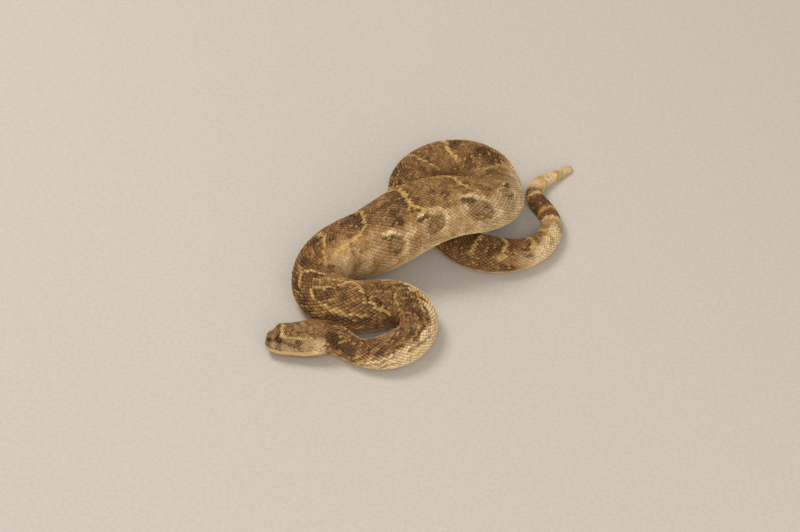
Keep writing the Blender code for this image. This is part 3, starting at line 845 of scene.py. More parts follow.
class Coat:
    """Scales gathered into one piece."""

    def __init__(self):
        self.points = []
        self.loops = []
        self.lengths = []
        self.tones = []
        self.lays = []
        self.uvs = []
        self.count = 0

    def add(self, points, faces, tone, lay, root):
        """n scales of k points each: points (n,k,3), tone (n,3), lay (n,k,3), root (n,2)."""
        n, k, _ = points.shape
        flat = np.array([index for face in faces for index in face])
        lengths = np.array([len(face) for face in faces])
        offsets = self.count + np.arange(n)[:, None] * k
        self.loops.append((offsets + flat[None]).ravel())
        self.lengths.append(np.tile(lengths, n))
        self.points.append(points.reshape(-1, 3))
        if tone.ndim == 2:
            tone = np.repeat(tone[:, None], k, axis=1)
        self.tones.append(np.concatenate([tone, np.ones((n, k, 1))], 2).reshape(-1, 4))
        self.lays.append(lay.reshape(-1, 3))
        patch = root[:, None] + (lay[..., :2] * (1, 0.5) - (0.5, 0)) * PATCH
        self.uvs.append(patch[:, flat].reshape(-1, 2))
        self.count += n * k

    def build(self, name, material):
        attributes = {"tone": ("FLOAT_COLOR", np.concatenate(self.tones)),
                      "lay": ("FLOAT_VECTOR", np.concatenate(self.lays))}
        faces = (np.concatenate(self.loops), np.concatenate(self.lengths))
        piece = make_mesh(name, np.concatenate(self.points), faces, attributes, np.concatenate(self.uvs))
        piece.data.materials.append(material)
        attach(piece, "root")


def shape_scales(rng, m, line, length, half, lift, outline, across=SCALE_ACROSS, camber=0.3, keel=0.35,
                 filled=False, base=0.10):
    """Points of n scales, their lay, and their places on the body as m and arc.

    line(m) gives the arc of each scale's own row, and sizes are per scale. The lay of a point is its
    place along the scale and across it, and a random number of the scale's own.
    """
    u = np.array(SCALE_ALONG)
    v = np.array(across)
    at = m[:, None] + length[:, None] * u
    centre = line(at)
    arc = centre[..., None] + half[:, None, None] * np.array(outline)[None, :, None] * v
    crest = np.array(CREST_ALONG)[None, :, None]
    ridge = np.interp(np.abs(v), KEEL_ACROSS, KEEL_HEIGHT)
    dome = (1 - v ** 2) * (soft(u, 0.1, 0.7) * (1 - 0.7 * soft(u, 0.7, 1.0)))[:, None]
    rising = base + (1 - base) * u[None, :, None]
    height = lift[:, None, None] * (rising + camber * dome[None] + keel * ridge * crest)
    at = np.broadcast_to(at[..., None], arc.shape)
    points = on_skin(at, arc, height)
    places = np.stack([at, arc], -1).reshape(len(m), -1, 2)
    lay = np.zeros(points.shape)
    lay[..., 0] = u[None, :, None]
    lay[..., 1] = v
    points = points.reshape(len(m), -1, 3)
    lay = lay.reshape(len(m), -1, 3)
    if filled:
        inner = (slice(None), slice(1, -1), slice(1, -1))
        low = on_skin(at[inner], arc[inner], height[inner] - 0.35 * lift[:, None, None])
        points = np.concatenate([points, low.reshape(len(m), -1, 3)], 1)
        added = low.shape[1] * low.shape[2]
        lay = np.concatenate([lay, np.zeros((len(m), added, 3))], 1)
        places = np.concatenate([places, np.zeros((len(m), added, 2))], 1)
    lay[..., 2] = rng.random(len(m))[:, None]
    return points, lay, places


def scale_tones(places, rng, amount, flecks=0.0):
    """Colours of n scales: partly one tone each, partly the marking that crosses them, with flecks."""
    n, k, _ = places.shape
    fine = markings(places[..., 0], places[..., 1]).reshape(n, k, 3)
    own = markings(places[:, k // 2, 0], places[:, k // 2, 1])[:, None]
    tone = own * OWN_SHARE + fine * (1 - OWN_SHARE)
    deep = 1 - soft(own.mean(axis=2, keepdims=True), 0.06, 0.24)
    value = np.exp(amount * (0.8 + 2.0 * deep) * rng.standard_normal((n, 1, 1)))
    fleck = rng.random((n, 1, 1))
    value *= np.where(fleck < flecks, 0.70 - 0.20 * deep, 1.0)
    gilt = np.where(fleck > 1 - 1.6 * flecks * deep, 0.55, 0.0)
    tone = tone * value
    return np.clip(tone + (YELLOW - tone) * gilt, 0.004, 1)


def bake_root(m, arc, start, end):
    """Place of each scale in the bake map of its piece: along the piece, and around the body."""
    _, share = columns_of(m, arc)
    return np.stack([(m - start) / (end - start), (share + 1) / 2], 1)


def clear_of_openings(points):
    """True for places that are clear of the eyes and nostrils."""
    keep = np.ones(len(points), bool)
    for side in (1, -1):
        keep &= np.linalg.norm(points - EYES[side], axis=1) > CLEAR_OF_EYES
        keep &= np.linalg.norm(points - NOSTRILS[side], axis=1) > CLEAR_OF_NOSTRILS
    return keep


def row_pitch(m):
    return lerp(ROW_PITCH_MM, to_s(m)) * MM


PITCH_AT = row_pitch(M_AT) * lerp(PITCH_SHARE, S_AT)
SCALE_COUNT = running_sum(1 / PITCH_AT, M_AT[1] - M_AT[0])
# Half-width of the stretch that the scale rows cover: to the lip plates, then to the belly plates.
LIPS_END_SHARE = LIP_SHARE[int(np.searchsorted(S_AT, LIPS_END))] - 0.03
BACK_REACH = HALF_GIRTH * np.where(
    S_AT < LIPS_END, LIP_SHARE - LIP_BAND / np.maximum(HALF_GIRTH, 1e-4),
    np.interp(S_AT, (LIPS_END, BELLY_START), (LIPS_END_SHARE, BACK_SHARE)))


def scale_numbers(start, end):
    """Numbers of the first and last scale of a row between two distances."""
    first, last = np.interp((start, end), M_AT, SCALE_COUNT)
    return math.ceil(first), math.floor(last)


def back_lattice(start, end):
    """Roots of the scales of the back and flanks: row number and distance along."""
    rows = []
    roots = []
    widest = int(math.ceil(np.max(BACK_REACH / row_pitch(M_AT))))
    first, last = scale_numbers(start, end)
    for row in range(-widest, widest + 1):
        counts = np.arange(first - 1, last + 2) + 0.5 * (row % 2)
        m = np.interp(counts, SCALE_COUNT, M_AT)
        arc = row * row_pitch(m)
        keep = np.abs(arc) <= np.interp(m, M_AT, BACK_REACH) - ROW_MARGIN * row_pitch(m)
        keep &= (m >= start) & (m < end)
        rows.append(np.full(keep.sum(), row))
        roots.append(m[keep])
    return np.concatenate(rows), np.concatenate(roots)


def add_back(coat, start, end, seed):
    """Scales of the back and flanks between two distances: smooth on the head, keeled behind it."""
    rng = np.random.default_rng(SEED + seed)
    row, m = back_lattice(start, end)
    on_head = 1 - soft(to_s(m), *HEAD_SCALES_END)
    pitch = row_pitch(m)
    arc = row * pitch
    longer = np.clip(stretch(m, arc), *STRETCH_LIMITS)
    length = np.interp(m, M_AT, PITCH_AT) * (OVERLAP - HEAD_OVERLAP_LESS * on_head) / longer
    length *= 1 + LENGTH_VARIES * rng.standard_normal(len(m))
    half = pitch * (HALF_WIDTH - HEAD_HALF_WIDTH_LESS * on_head)
    half *= 1 + WIDTH_VARIES * rng.standard_normal(len(m))
    lift = np.interp(m, M_AT, coat_depth(S_AT, 0.0)) * (1 + HEIGHT_VARIES * rng.standard_normal(len(m)))
    wander = on_head * pitch * HEAD_WANDER * rng.standard_normal(len(m))
    keep = clear_of_openings(on_skin(m + length * 0.5, arc, lift)) & (m > FIRST_SCALE_AT)
    smooth = on_head > 0.5
    for chosen, outline, keel in ((smooth, ROUND_OUTLINE, HEAD_KEEL), (~smooth, KEELED_OUTLINE, 1.0)):
        picked = np.flatnonzero(keep & chosen)
        if not len(picked):
            continue

        def line(at, picked=picked):
            return row[picked][:, None] * row_pitch(at) + wander[picked][:, None]

        points, lay, places = shape_scales(rng, m[picked], line, length[picked], half[picked], lift[picked],
                                           outline, keel=KEEL * keel, camber=CAMBER)
        tone = scale_tones(places, rng, TONE_VARIES, FLECKS * keel)
        coat.add(points, SCALE_FACES, tone, lay, bake_root(m[picked], arc[picked], start, end))


PLATE_OVERLAP = 1.35
PLATE_TUCK = 0.25                   # how far the plates reach under the last rows, in row pitches


def add_plates(coat, start, end, seed):
    """Broad smooth plates across the belly."""
    rng = np.random.default_rng(SEED + seed)
    first, last = scale_numbers(start, end)
    m = np.interp(np.arange(first, last + 1) + 0.25, SCALE_COUNT, M_AT)
    m = m[(m >= start) & (m < end)]
    girth = half_girth(m)
    length = np.interp(m, M_AT, PITCH_AT) * PLATE_OVERLAP
    half = girth * (1 - BACK_SHARE) + row_pitch(m) * PLATE_TUCK
    lift = coat_depth(to_s(m), np.ones(len(m))) * 0.95
    points, lay, _ = shape_scales(rng, m, half_girth, length, half, lift, PLATE_OUTLINE,
                                  across=PLATE_ACROSS, camber=0.0, keel=0.0, filled=True)
    tone = markings(m, girth * 0.97) * (1 + 0.05 * rng.standard_normal((len(m), 1)))
    coat.add(points, PLATE_FACES, tone, lay, bake_root(m, girth * 0.98, start, end))


# Rows of plates along the upper and the lower lip: distance below an edge of the mouth line, first plate,
# pitch, half-width and height, all in mm; number of plates; the share where that edge runs.
LIP_ROWS = (
    (-1.25, 5.0, 2.6, 1.75, 0.42, 17, LIP_SHARE),
    (1.3, 6.0, 2.7, 1.35, 0.30, 16, JAW_SHARE_AT),
)


def add_lip_plates(coat, seed, end):
    """Rows of plates along both lips."""
    rng = np.random.default_rng(SEED + seed)
    for side in (1, -1):
        for offset, start, pitch, half, lift, count, shares in LIP_ROWS:
            m = (start + pitch * np.arange(count)) * MM
            sizes = [np.full(count, size * MM) for size in (pitch * OVERLAP, half, lift)]

            def line(at, side=side, offset=offset, shares=shares):
                return side * (half_girth(at) * np.interp(at, M_AT, shares) + offset * MM)

            points, lay, places = shape_scales(rng, m, line, *sizes, LIP_OUTLINE,
                                               camber=0.2, keel=0.0, base=0.6)
            # Shifts the lay so that little of the painted root shadow and less of the painted rim highlight
            # fall on the lip plates.
            lay[..., 0] = 0.75 + 0.2 * lay[..., 0]
            lay[..., 1] *= 0.6
            tone = scale_tones(places, rng, SMOOTH_TONE_VARIES)
            coat.add(points, SCALE_FACES, tone, lay, bake_root(m, line(m), 0, end))


CHIN_PITCH, CHIN_LIFT = 0.0023, 0.00030
CHIN_FROM, CHIN_TO = 0.0075, 0.053
CHIN_ROWS = 7                       # on each side of the belly line
JAW_END = 0.0445
JAW_MARGIN = 0.0020                 # width of the lower lip plates


def add_chin(coat, seed, end):
    """Smooth scales under the chin and throat."""
    rng = np.random.default_rng(SEED + seed)
    for row in range(-CHIN_ROWS, CHIN_ROWS + 1):
        m = np.arange(CHIN_FROM, to_m(CHIN_TO), CHIN_PITCH * 1.15) + 0.5 * CHIN_PITCH * (row % 2)
        limit = half_girth(m) * (1 - np.interp(m, M_AT, JAW_SHARE_AT)) - JAW_MARGIN
        limit = np.where(to_s(m) > JAW_END, half_girth(m) * (1 - BACK_SHARE), limit)
        m = m[abs(row) * CHIN_PITCH < limit]
        count = len(m)
        if not count:
            continue

        def line(at, row=row):
            return half_girth(at) + row * CHIN_PITCH

        sizes = [np.full(count, size) for size in (CHIN_PITCH * 1.6, CHIN_PITCH * 0.56, CHIN_LIFT)]
        points, lay, places = shape_scales(rng, m, line, *sizes, ROUND_OUTLINE, camber=0.3, keel=0.0)
        tone = scale_tones(places, rng, SMOOTH_TONE_VARIES)
        coat.add(points, SCALE_FACES, tone, lay, bake_root(m, half_girth(m) * 0.98, 0, end))


def skin_point(target):
    """Grid row and column nearest to a world point on the head."""
    distance = np.linalg.norm(POINTS[:HEAD_ROWS] - target, axis=-1)
    return np.unravel_index(int(np.argmin(distance)), distance.shape)


def unit(vector):
    return vector / np.linalg.norm(vector)


RING_BAND = 0.0006                  # how far from its ring's own radius a small scale may stand
OFF_RING_COST = 300                 # radians off its angle that weigh as much as 1 m off that radius


def ring_places(centre, radius, count):
    """Places on the skin in a ring round an eye or nostril, with outward and radial directions."""
    cloud = POINTS[:HEAD_ROWS].reshape(-1, 3)
    normals = NORMALS[:HEAD_ROWS].reshape(-1, 3)
    distance = np.linalg.norm(cloud - centre, axis=1)
    axis = normals[int(np.argmin(distance))]
    first = unit(np.cross(axis, (0, 0, 1.0)))
    second = np.cross(axis, first)
    band = np.abs(distance - radius) < RING_BAND
    cloud = cloud[band]
    normals = normals[band]
    offsets = cloud - centre
    angles = np.arctan2(offsets @ second, offsets @ first)
    places = []
    for k in range(count):
        angle = -math.pi + 2 * math.pi * (k + 0.5) / count
        miss = np.abs((angles - angle + math.pi) % (2 * math.pi) - math.pi)
        best = int(np.argmin(miss + OFF_RING_COST * np.abs(np.linalg.norm(offsets, axis=1) - radius)))
        places.append((cloud[best], normals[best], unit(offsets[best])))
    return places


BEAD_ALONG = (-1.0, -0.7, -0.25, 0.25, 0.7, 1.0)
BEAD_SUNK = 0.0004                  # depth of a bead's border in the skin


def bead_points(place, normal, radial, half_long, half_wide, height):
    """A low domed scale on a ring: long around the ring, wide across it."""
    radial = unit(radial - normal * (radial @ normal))
    tangent = np.cross(radial, normal)
    rows = []
    for a in BEAD_ALONG:
        for b in BEAD_ALONG:
            x = a * math.sqrt(1 - b * b / 2)
            y = b * math.sqrt(1 - a * a / 2)
            dome = max(0.0, 1 - x * x - y * y) ** 0.5
            rows.append(place + tangent * x * half_long + radial * y * half_wide
                        + normal * (dome * height - BEAD_SUNK * (1 - dome)))
    return np.array(rows)


def bead_faces(size):
    """Faces of a domed scale on a square grid of points, closed below by one face."""
    square = np.arange(size * size).reshape(size, size)
    border = np.concatenate([square[:, 0], square[-1, 1:], square[-2::-1, -1], square[0, -2:0:-1]])
    return grid_faces(size, size) + [tuple(border[::-1])]


# Rings of small scales: round what, radius, how many, and half-length, half-width and height of one.
RINGS = (
    (EYES, 0.0038, 16, 0.00078, 0.00062, 0.00065),
    (NOSTRILS, 0.0017, 9, 0.00064, 0.00052, 0.00055),
)


def add_rings(coat, seed, end):
    """Small scales round the eyes and nostrils."""
    rng = np.random.default_rng(SEED + seed)
    faces = bead_faces(len(BEAD_ALONG))
    for centres, radius, count, half_long, half_wide, height in RINGS:
        for side in (1, -1):
            for place, normal, radial in ring_places(centres[side], radius, count):
                points = bead_points(place, normal, radial, half_long, half_wide, height)[None]
                lay = np.full(points.shape, 0.5)
                lay[..., 1] = 0.3
                lay[..., 2] = rng.random()
                row, column = skin_point(place)
                m = M_AT[[row]]
                arc = (column - HALF_COLUMNS) / HALF_COLUMNS * HALF_GIRTH[[row]]
                tone = markings(m, arc) * (1 + 0.08 * rng.standard_normal())
                coat.add(points, faces, tone, lay, bake_root(m, arc, 0, end))


# ---------------- skin

FINE_SKIN_END = 0.058
SKIN_TIP_DEPTH = 0.0003


def skin_grid():
    """Grid rows and columns that the skin uses: every row on the head and near the tail tip."""
    fine = int(FINE_SKIN_END / ALONG_STEP)
    rows = (np.arange(1, fine), np.arange(fine, ROWS - 14, 4), np.arange(ROWS - 12, ROWS - 1))
    return np.concatenate(rows), np.arange(0, COLUMNS - 1, 2)


def skin_depths(rows, columns):
    """Depth of the skin below the grid, with the mouth line, the nostrils and the eye sockets sunk in."""
    size = np.abs(columns - HALF_COLUMNS)
    depth = coat_depth(S_AT[rows][:, None], size[None] / HALF_COLUMNS)
    groove = (size > LIP_COLUMN) & (size < JAW_COLUMN)
    fade = (1 - soft(S_AT[rows], *MOUTH_LINE_END)) * soft(S_AT[rows], *MOUTH_LINE_START)
    depth = depth + MOUTH_LINE_DEPTH * groove * fade[:, None]
    points = POINTS[rows][:, columns]
    for side in (1, -1):
        distance = np.linalg.norm(points - NOSTRILS[side], axis=-1)
        depth = depth + NOSTRIL_DEPTH * (1 - soft(distance, *NOSTRIL_RADII))
        distance = np.linalg.norm(points - EYES[side], axis=-1)
        depth = depth + SOCKET_DEPTH * (1 - soft(distance, *SOCKET_RADII))
    return depth


def skin_tones(rows, columns):
    """Colour of the skin at its points and its two ends, nearly black inside the nostrils."""
    share = share_of(columns - HALF_COLUMNS, LIP_SHARE[rows][:, None], JAW_SHARE_AT[rows][:, None])
    arc = share * HALF_GIRTH[rows][:, None]
    tone = markings(np.repeat(M_AT[rows], len(columns)), arc) * SKIN_TONE
    points = POINTS[rows][:, columns].reshape(-1, 3)
    for side in (1, -1):
        distance = np.linalg.norm(points - NOSTRILS[side], axis=1)
        tone *= 1 - 0.97 * (1 - soft(distance, *NOSTRIL_SHADE_RADII))[:, None]
    tone = np.concatenate([tone, tone[[0, -1]]])
    return np.concatenate([tone, np.ones((len(tone), 1))], 1)


def build_skin(material):
    """One closed skin from snout to tail tip."""
    rows, columns = skin_grid()
    points = POINTS[rows][:, columns] - NORMALS[rows][:, columns] * skin_depths(rows, columns)[..., None]
    ends = POINTS[[0, -1], 0] - NORMALS[[0, -1], 0] * SKIN_TIP_DEPTH
    skin = make_mesh("skin", np.concatenate([points.reshape(-1, 3), ends]),
                     tube_faces(len(rows), len(columns)),
                     {"tone": ("FLOAT_COLOR", skin_tones(rows, columns))},
                     tube_uv(rows / ROWS, len(columns)))
    skin.data.materials.append(material)
    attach(skin, "root")
    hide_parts("head", "lower_jaw", "neck", *[f"body_{i:02d}" for i in range(1, 13)], "tail")


# ---------------- eyes

EYE_RINGS, EYE_AROUND = 28, 48
EYE_BULGE = 0.03                    # how much further the front stands out, as a share of the radius
EYE_FORWARDS, EYE_UPWARDS = 0.22, 0.16


def eye_points(centre, axis):
    """Points of an eyeball, ring by ring from the front, and each one's place: x, y, share of the way."""
    upright = unit(np.array([0, 0, 1.0]) - axis * axis[2])
    frame_of_eye = np.array([np.cross(axis, upright), upright, axis])
    polar, angle = np.meshgrid(math.pi * np.arange(1, EYE_RINGS) / EYE_RINGS,
                               2 * math.pi * np.arange(EYE_AROUND) / EYE_AROUND, indexing="ij")
    polar = polar.ravel()
    angle = angle.ravel()
    x, y, z = np.sin(polar) * np.cos(angle), np.sin(polar) * np.sin(angle), np.cos(polar)
    bulge = 1 + EYE_BULGE * np.maximum(0, z) ** 3
    points = centre + EYE_RADIUS * bulge[:, None] * (np.stack([x, y, z], -1) @ frame_of_eye)
    front = centre + axis * EYE_RADIUS * (1 + EYE_BULGE)
    back = centre - axis * EYE_RADIUS
    lay = np.stack([x, y, polar / math.pi], -1)
    return np.concatenate([points, [front, back]]), np.concatenate([lay, [(0, 0, 0), (0, 0, 1)]])


def build_eye(side, material):
    """An eyeball with a slit pupil: rings round its own axis, which looks out and a little forwards."""
    heading = float(along(HEADING, EYE_AT_MM[0] * MM))
    backward = np.array([math.cos(heading), math.sin(heading), 0.0])
    outward = np.array([math.sin(heading), -math.cos(heading), 0.0]) * side
    points, lay = eye_points(EYES[side], unit(outward - EYE_FORWARDS * backward + (0, 0, EYE_UPWARDS)))
    faces = tube_faces(EYE_RINGS - 1, EYE_AROUND)
    corners = lay[faces[0]]
    uv = (corners[:, :2] * 0.5 + 0.5) * (0.5, 1.0)
    uv[:, 0] += 0.5 * (corners[:, 2] > 0.5)
    word = "left" if side == 1 else "right"
    eye = make_mesh(f"eyeball_{word}", points, faces, {"lay": ("FLOAT_VECTOR", lay)}, uv)
    eye.data.materials.append(material)
    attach(eye, "root")
    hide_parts(f"eye_{word}")


# ---------------- materials

# The first is the paler colour of keels, rims and tips, partly painted highlight; the second is the colour
# of the painted shadow at the scale roots.
PALE_EDGE_AND_HIGHLIGHT, ROOT_SHADOW_TONE = (0.62, 0.42, 0.20), (0.030, 0.010, 0.004)
SKIN_DARK = (0.05, 0.03, 0.018)
IRIS_LIGHT, IRIS_DARK, IRIS_RIM = (0.085, 0.045, 0.022), (0.018, 0.010, 0.007), (0.012, 0.008, 0.006)
PUPIL = (0.002, 0.002, 0.002)
PUPIL_SLIMNESS = 3.4                # height of the pupil over its width
FLOOR_LIGHT, FLOOR_DARK = (0.56, 0.53, 0.49), (0.52, 0.49, 0.45)


class Nodes:
    """Short names for building a node material."""

    def __init__(self, name):
        self.material = bpy.data.materials.new(name)
        self.material.use_nodes = True
        self.tree = self.material.node_tree
        self.shader = self.tree.nodes["Principled BSDF"]

    def new(self, kind, **settings):
        node = self.tree.nodes.new(kind)
        for key, value in settings.items():
            setattr(node, key, value)
        return node

    def link(self, source, target):
        self.tree.links.new(source, target)

    def attribute(self, label):
        node = self.new("ShaderNodeAttribute")
        node.attribute_name = label
        return node

    def noise(self, scale, detail=3.0, roughness=0.5):
        where = self.new("ShaderNodeTexCoord")
        node = self.new("ShaderNodeTexNoise")
        node.inputs["Scale"].default_value = scale
        node.inputs["Detail"].default_value = detail
        node.inputs["Roughness"].default_value = roughness
        self.link(where.outputs["Object"], node.inputs["Vector"])
        return node.outputs["Fac"]

    def curve(self, source, low, high, to_low, to_high):
        node = self.new("ShaderNodeMapRange", interpolation_type="SMOOTHSTEP")
        self.link(source, node.inputs["Value"])
        for label, value in (("From Min", low), ("From Max", high), ("To Min", to_low), ("To Max", to_high)):
            node.inputs[label].default_value = value
        return node.outputs["Result"]

    def math(self, operation, first, second=None):
        node = self.new("ShaderNodeMath", operation=operation)
        for slot, value in enumerate((first, second)):
            if value is None:
                continue
            if isinstance(value, (int, float)):
                node.inputs[slot].default_value = value
            else:
                self.link(value, node.inputs[slot])
        return node.outputs["Value"]

    def times(self, first, second):
        return self.math("MULTIPLY", first, second)

    def plus(self, first, second):
        return self.math("ADD", first, second)

    def distance(self, x, y):
        return self.math("SQRT", self.plus(self.math("POWER", x, 2.0), self.math("POWER", y, 2.0)))

    def split(self, label):
        """X and Y of a vector stored in the mesh."""
        node = self.new("ShaderNodeSeparateXYZ")
        self.link(self.attribute(label).outputs["Vector"], node.inputs["Vector"])
        return node.outputs["X"], node.outputs["Y"]

    def mix(self, amount, first, second, mode="MIX"):
        node = self.new("ShaderNodeMix", data_type="RGBA", blend_type=mode)
        if isinstance(amount, (int, float)):
            node.inputs[0].default_value = amount
        else:
            self.link(amount, node.inputs[0])
        for slot, value in ((6, first), (7, second)):
            if isinstance(value, (tuple, list, np.ndarray)):
                node.inputs[slot].default_value = (*value, 1.0)
            else:
                self.link(value, node.inputs[slot])
        return node.outputs[2]

    def bump(self, height, strength, distance):
        node = self.new("ShaderNodeBump")
        node.inputs["Strength"].default_value = strength
        node.inputs["Distance"].default_value = distance
        self.link(height, node.inputs["Height"])
        self.link(node.outputs["Normal"], self.shader.inputs["Normal"])


def scale_material(name, gloss=0.66, striae=0.5, shade=0.62):
    """Horn scales. Dark ones have a light keel and tip; pale ones a paler rim. Keel, rim and tip are partly
    the horn's own pale margin and partly painted highlight; each scale's root, under the tips in front, gets
    painted shadow, seen as thin dark lines between the scales.
    """
    nodes = Nodes(name)
    tone = nodes.attribute("tone").outputs["Color"]
    grey = nodes.new("ShaderNodeRGBToBW")
    nodes.link(tone, grey.inputs["Color"])
    dark = nodes.curve(grey.outputs["Val"], 0.07, 0.34, 1.0, 0.0)
    along_scale, across_scale = nodes.split("lay")
    from_keel = nodes.math("ABSOLUTE", across_scale)
    # Paler keel, rim and tip: partly the horn's own paler margin, partly painted highlight on the raised
    # keel and edges.
    paler = nodes.mix(0.45, tone, PALE_EDGE_AND_HIGHLIGHT)
    # Painted shadow colour, for the root of each scale where the tips in front overlap it.
    darker = nodes.mix(0.80, tone, ROOT_SHADOW_TONE)
    behind = nodes.plus(0.33, nodes.times(from_keel, 0.30))
    open_part = nodes.curve(nodes.math("SUBTRACT", along_scale, behind), 0.0, 0.34, 0.0, 1.0)
    keel = nodes.curve(from_keel, 0.06, 0.24, 0.42, 0.0)
    rim = nodes.curve(from_keel, 0.48, 0.85, 0.0, 1.0)
    rim = nodes.math("MAXIMUM", rim, nodes.curve(along_scale, 0.80, 0.95, 0.0, 1.0))
    rim = nodes.times(rim, nodes.plus(0.58, nodes.times(dark, 0.22)))
    color = nodes.mix(nodes.math("MAXIMUM", rim, keel), tone, paler)
    # Painted shadow over each scale's root, behind the edges of the overlapping scales, deeper on dark
    # scales.
    shadow = nodes.math("SUBTRACT", 1.0, open_part)
    shadow_strength = nodes.plus(shade, nodes.times(dark, 0.33))
    color = nodes.mix(nodes.times(shadow, shadow_strength), color, darker)
    mottle = nodes.curve(nodes.noise(900.0, 4.0, 0.6), 0.3, 0.7, 0.84, 1.12)
    grey_mottle = nodes.new("ShaderNodeCombineXYZ")
    for axis in ("X", "Y", "Z"):
        nodes.link(mottle, grey_mottle.inputs[axis])
    color = nodes.mix(1.0, color, grey_mottle.outputs["Vector"], mode="MULTIPLY")
    nodes.link(color, nodes.shader.inputs["Base Color"])
    grain = nodes.noise(2600.0, 2.0, 0.5)
    nodes.link(nodes.curve(grain, 0.3, 0.7, gloss - 0.07, gloss + 0.1), nodes.shader.inputs["Roughness"])
    nodes.shader.inputs["Specular IOR Level"].default_value = 0.07
    nodes.bump(grain, striae, 0.00012)
    return nodes.material


def skin_material():
    """Soft skin between the scales, darker than they are."""
    nodes = Nodes("skin_between_scales")
    tone = nodes.attribute("tone").outputs["Color"]
    spots = nodes.noise(1400.0, 4.0, 0.6)
    color = nodes.mix(nodes.curve(spots, 0.35, 0.65, 0.0, 0.5), tone, SKIN_DARK)
    nodes.link(color, nodes.shader.inputs["Base Color"])
    nodes.link(nodes.curve(spots, 0.3, 0.7, 0.6, 0.8), nodes.shader.inputs["Roughness"])
    nodes.shader.inputs["Specular IOR Level"].default_value = 0.3
    nodes.bump(spots, 0.5, 0.0003)
    return nodes.material


def eye_material():
    """Brown iris with fine veins, an upright slit pupil and a wet surface."""
    nodes = Nodes("eye_wet")
    x, y = nodes.split("lay")
    pupil = nodes.curve(nodes.distance(nodes.times(x, PUPIL_SLIMNESS), y), 0.60, 0.68, 1.0, 0.0)
    veins = nodes.noise(2600.0, 5.0, 0.7)
    iris = nodes.mix(nodes.curve(veins, 0.40, 0.62, 0.0, 1.0), IRIS_DARK, IRIS_LIGHT)
    rim = nodes.curve(nodes.distance(x, y), 0.74, 0.90, 0.0, 1.0)
    color = nodes.mix(rim, iris, IRIS_RIM)
    color = nodes.mix(pupil, color, PUPIL)
    nodes.link(color, nodes.shader.inputs["Base Color"])
    nodes.link(nodes.curve(veins, 0.3, 0.7, 0.22, 0.28), nodes.shader.inputs["Roughness"])
    nodes.shader.inputs["Specular IOR Level"].default_value = 0.20
    nodes.shader.inputs["Coat Weight"].default_value = 0.15
    nodes.shader.inputs["Coat Roughness"].default_value = 0.04
    return nodes.material


def floor_material():
    """Plain pale floor."""
    nodes = Nodes("pale_floor")
    grain = nodes.noise(300.0, 3.0, 0.5)
    color = nodes.mix(nodes.curve(grain, 0.3, 0.7, 0.0, 1.0), FLOOR_DARK, FLOOR_LIGHT)
    nodes.link(color, nodes.shader.inputs["Base Color"])
    nodes.shader.inputs["Roughness"].default_value = 0.9
    return nodes.material


# ---------------- assembly

# Pieces of the coat: name, from and to in mm from the snout, and a slot name.
COATS = (
    ("coat_neck", 52, 155, "body_scales"), ("coat_first_bend", 155, 258, "body_scales"),
    ("coat_second_bend", 258, 345, "body_scales"), ("coat_mid_body", 345, 425, "body_scales"),
    ("coat_right_side", 425, 508, "body_scales"), ("coat_back_of_coil", 508, 600, "body_scales"),
    ("coat_hind_body", 600, 732, "body_scales"), ("coat_tail", 732, 908, "tail_scales"),
)
HEAD_COAT_END = 0.052
TAIL_END_MARGIN = 0.002             # the last scales start this far from the tip, or further


def build_coats():
    """All pieces made of scales: the head's, then those of the body from front to back."""
    horn = scale_material("keeled_scales")
    face = scale_material("head_scales_fine", gloss=0.56, striae=0.35, shade=0.45)
    head = Coat()
    end = float(to_m(HEAD_COAT_END))
    add_back(head, 0.0, end, 1)
    add_lip_plates(head, 2, end)
    add_chin(head, 3, end)
    add_rings(head, 4, end)
    head.build("coat_head", face)
    for number, (name, start_mm, end_mm, slot) in enumerate(COATS):
        start = float(to_m(start_mm * MM))
        stop = min(float(to_m(end_mm * MM)), TOTAL - TAIL_END_MARGIN)
        coat = Coat()
        add_back(coat, start, stop, 10 + number)
        add_plates(coat, start, stop, 30 + number)
        coat.build(name, horn)


FLOOR_HALF, FLOOR_LEVEL = 3.0, -0.0002


def build_floor():
    mesh = bpy.data.meshes.new("floor")
    square = ((-1, -1), (1, -1), (1, 1), (-1, 1))
    corners = [(x * FLOOR_HALF, y * FLOOR_HALF, FLOOR_LEVEL) for x, y in square]
    mesh.from_pydata(corners, [], [(0, 1, 2, 3)])
    floor = bpy.data.objects.new("floor", mesh)
    bpy.context.scene.collection.objects.link(floor)
    mesh.materials.append(floor_material())


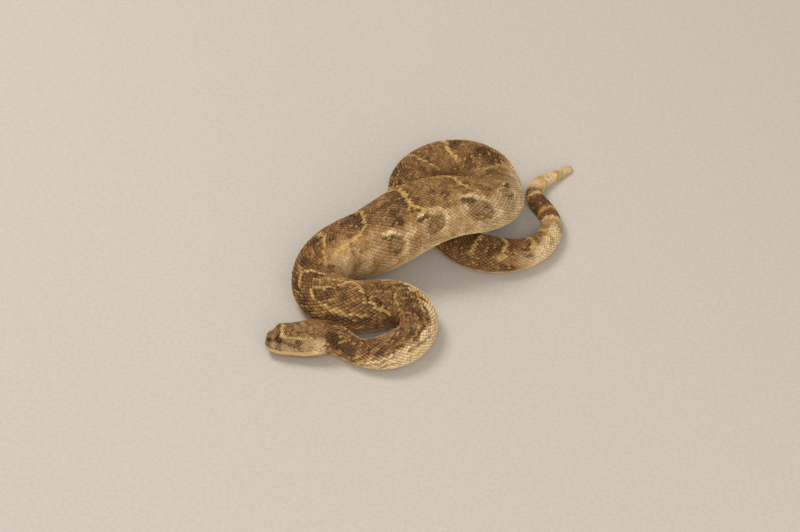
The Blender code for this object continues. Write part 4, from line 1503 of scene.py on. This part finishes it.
def aim(item, target):
    """Turn a lamp so that it shines at a point."""
    direction = np.array(target) - np.array(item.location)
    flat = math.hypot(direction[0], direction[1])
    item.rotation_euler = (math.pi / 2 + math.atan2(direction[2], flat), 0,
                           math.atan2(direction[1], direction[0]) - math.pi / 2)


CAMERA_ELEVATION = math.radians(42)
CAMERA_DISTANCE = 3.2
CAMERA_LENS, SENSOR_WIDTH = 167.04, 36
CLIP_END = 30
CAMERA_TARGET = (-0.0198, -0.0042, 0.0)


def build_camera():
    data = bpy.data.cameras.new("camera")
    data.lens = CAMERA_LENS
    data.sensor_width = SENSOR_WIDTH
    data.clip_end = CLIP_END
    camera = bpy.data.objects.new("camera", data)
    camera.location = (CAMERA_TARGET[0], CAMERA_TARGET[1] - CAMERA_DISTANCE * math.cos(CAMERA_ELEVATION),
                       CAMERA_DISTANCE * math.sin(CAMERA_ELEVATION))
    camera.rotation_euler = (math.pi / 2 - CAMERA_ELEVATION, 0, 0)
    bpy.context.scene.collection.objects.link(camera)
    bpy.context.scene.camera = camera


def area_light(name, location, size, energy, color):
    data = bpy.data.lights.new(name, "AREA")
    data.size = size
    data.energy = energy
    data.color = color
    light = bpy.data.objects.new(name, data)
    light.location = location
    aim(light, (0, 0, 0))
    bpy.context.scene.collection.objects.link(light)


KEY_COLOR, FILL_COLOR = (1.0, 0.94, 0.84), (1.0, 0.95, 0.87)
SKY_STRENGTH = 0.40


def build_lights():
    """A warm key lamp behind on the left, a wide fill lamp in front, and an even sky."""
    area_light("key", (-0.9, 0.7, 1.9), 0.9, 28, KEY_COLOR)
    area_light("fill", (0.4, -2.1, 1.3), 2.2, 44, FILL_COLOR)
    world = bpy.data.worlds.new("studio")
    world.use_nodes = True
    sky = world.node_tree.nodes["Background"]
    sky.inputs["Color"].default_value = (*FILL_COLOR, 1.0)
    sky.inputs["Strength"].default_value = SKY_STRENGTH
    bpy.context.scene.world = world
    bpy.context.scene.view_settings.view_transform = "Standard"


build_skin(skin_material())
build_coats()
wet = eye_material()
build_eye(1, wet)
build_eye(-1, wet)
build_floor()
build_camera()
build_lights()
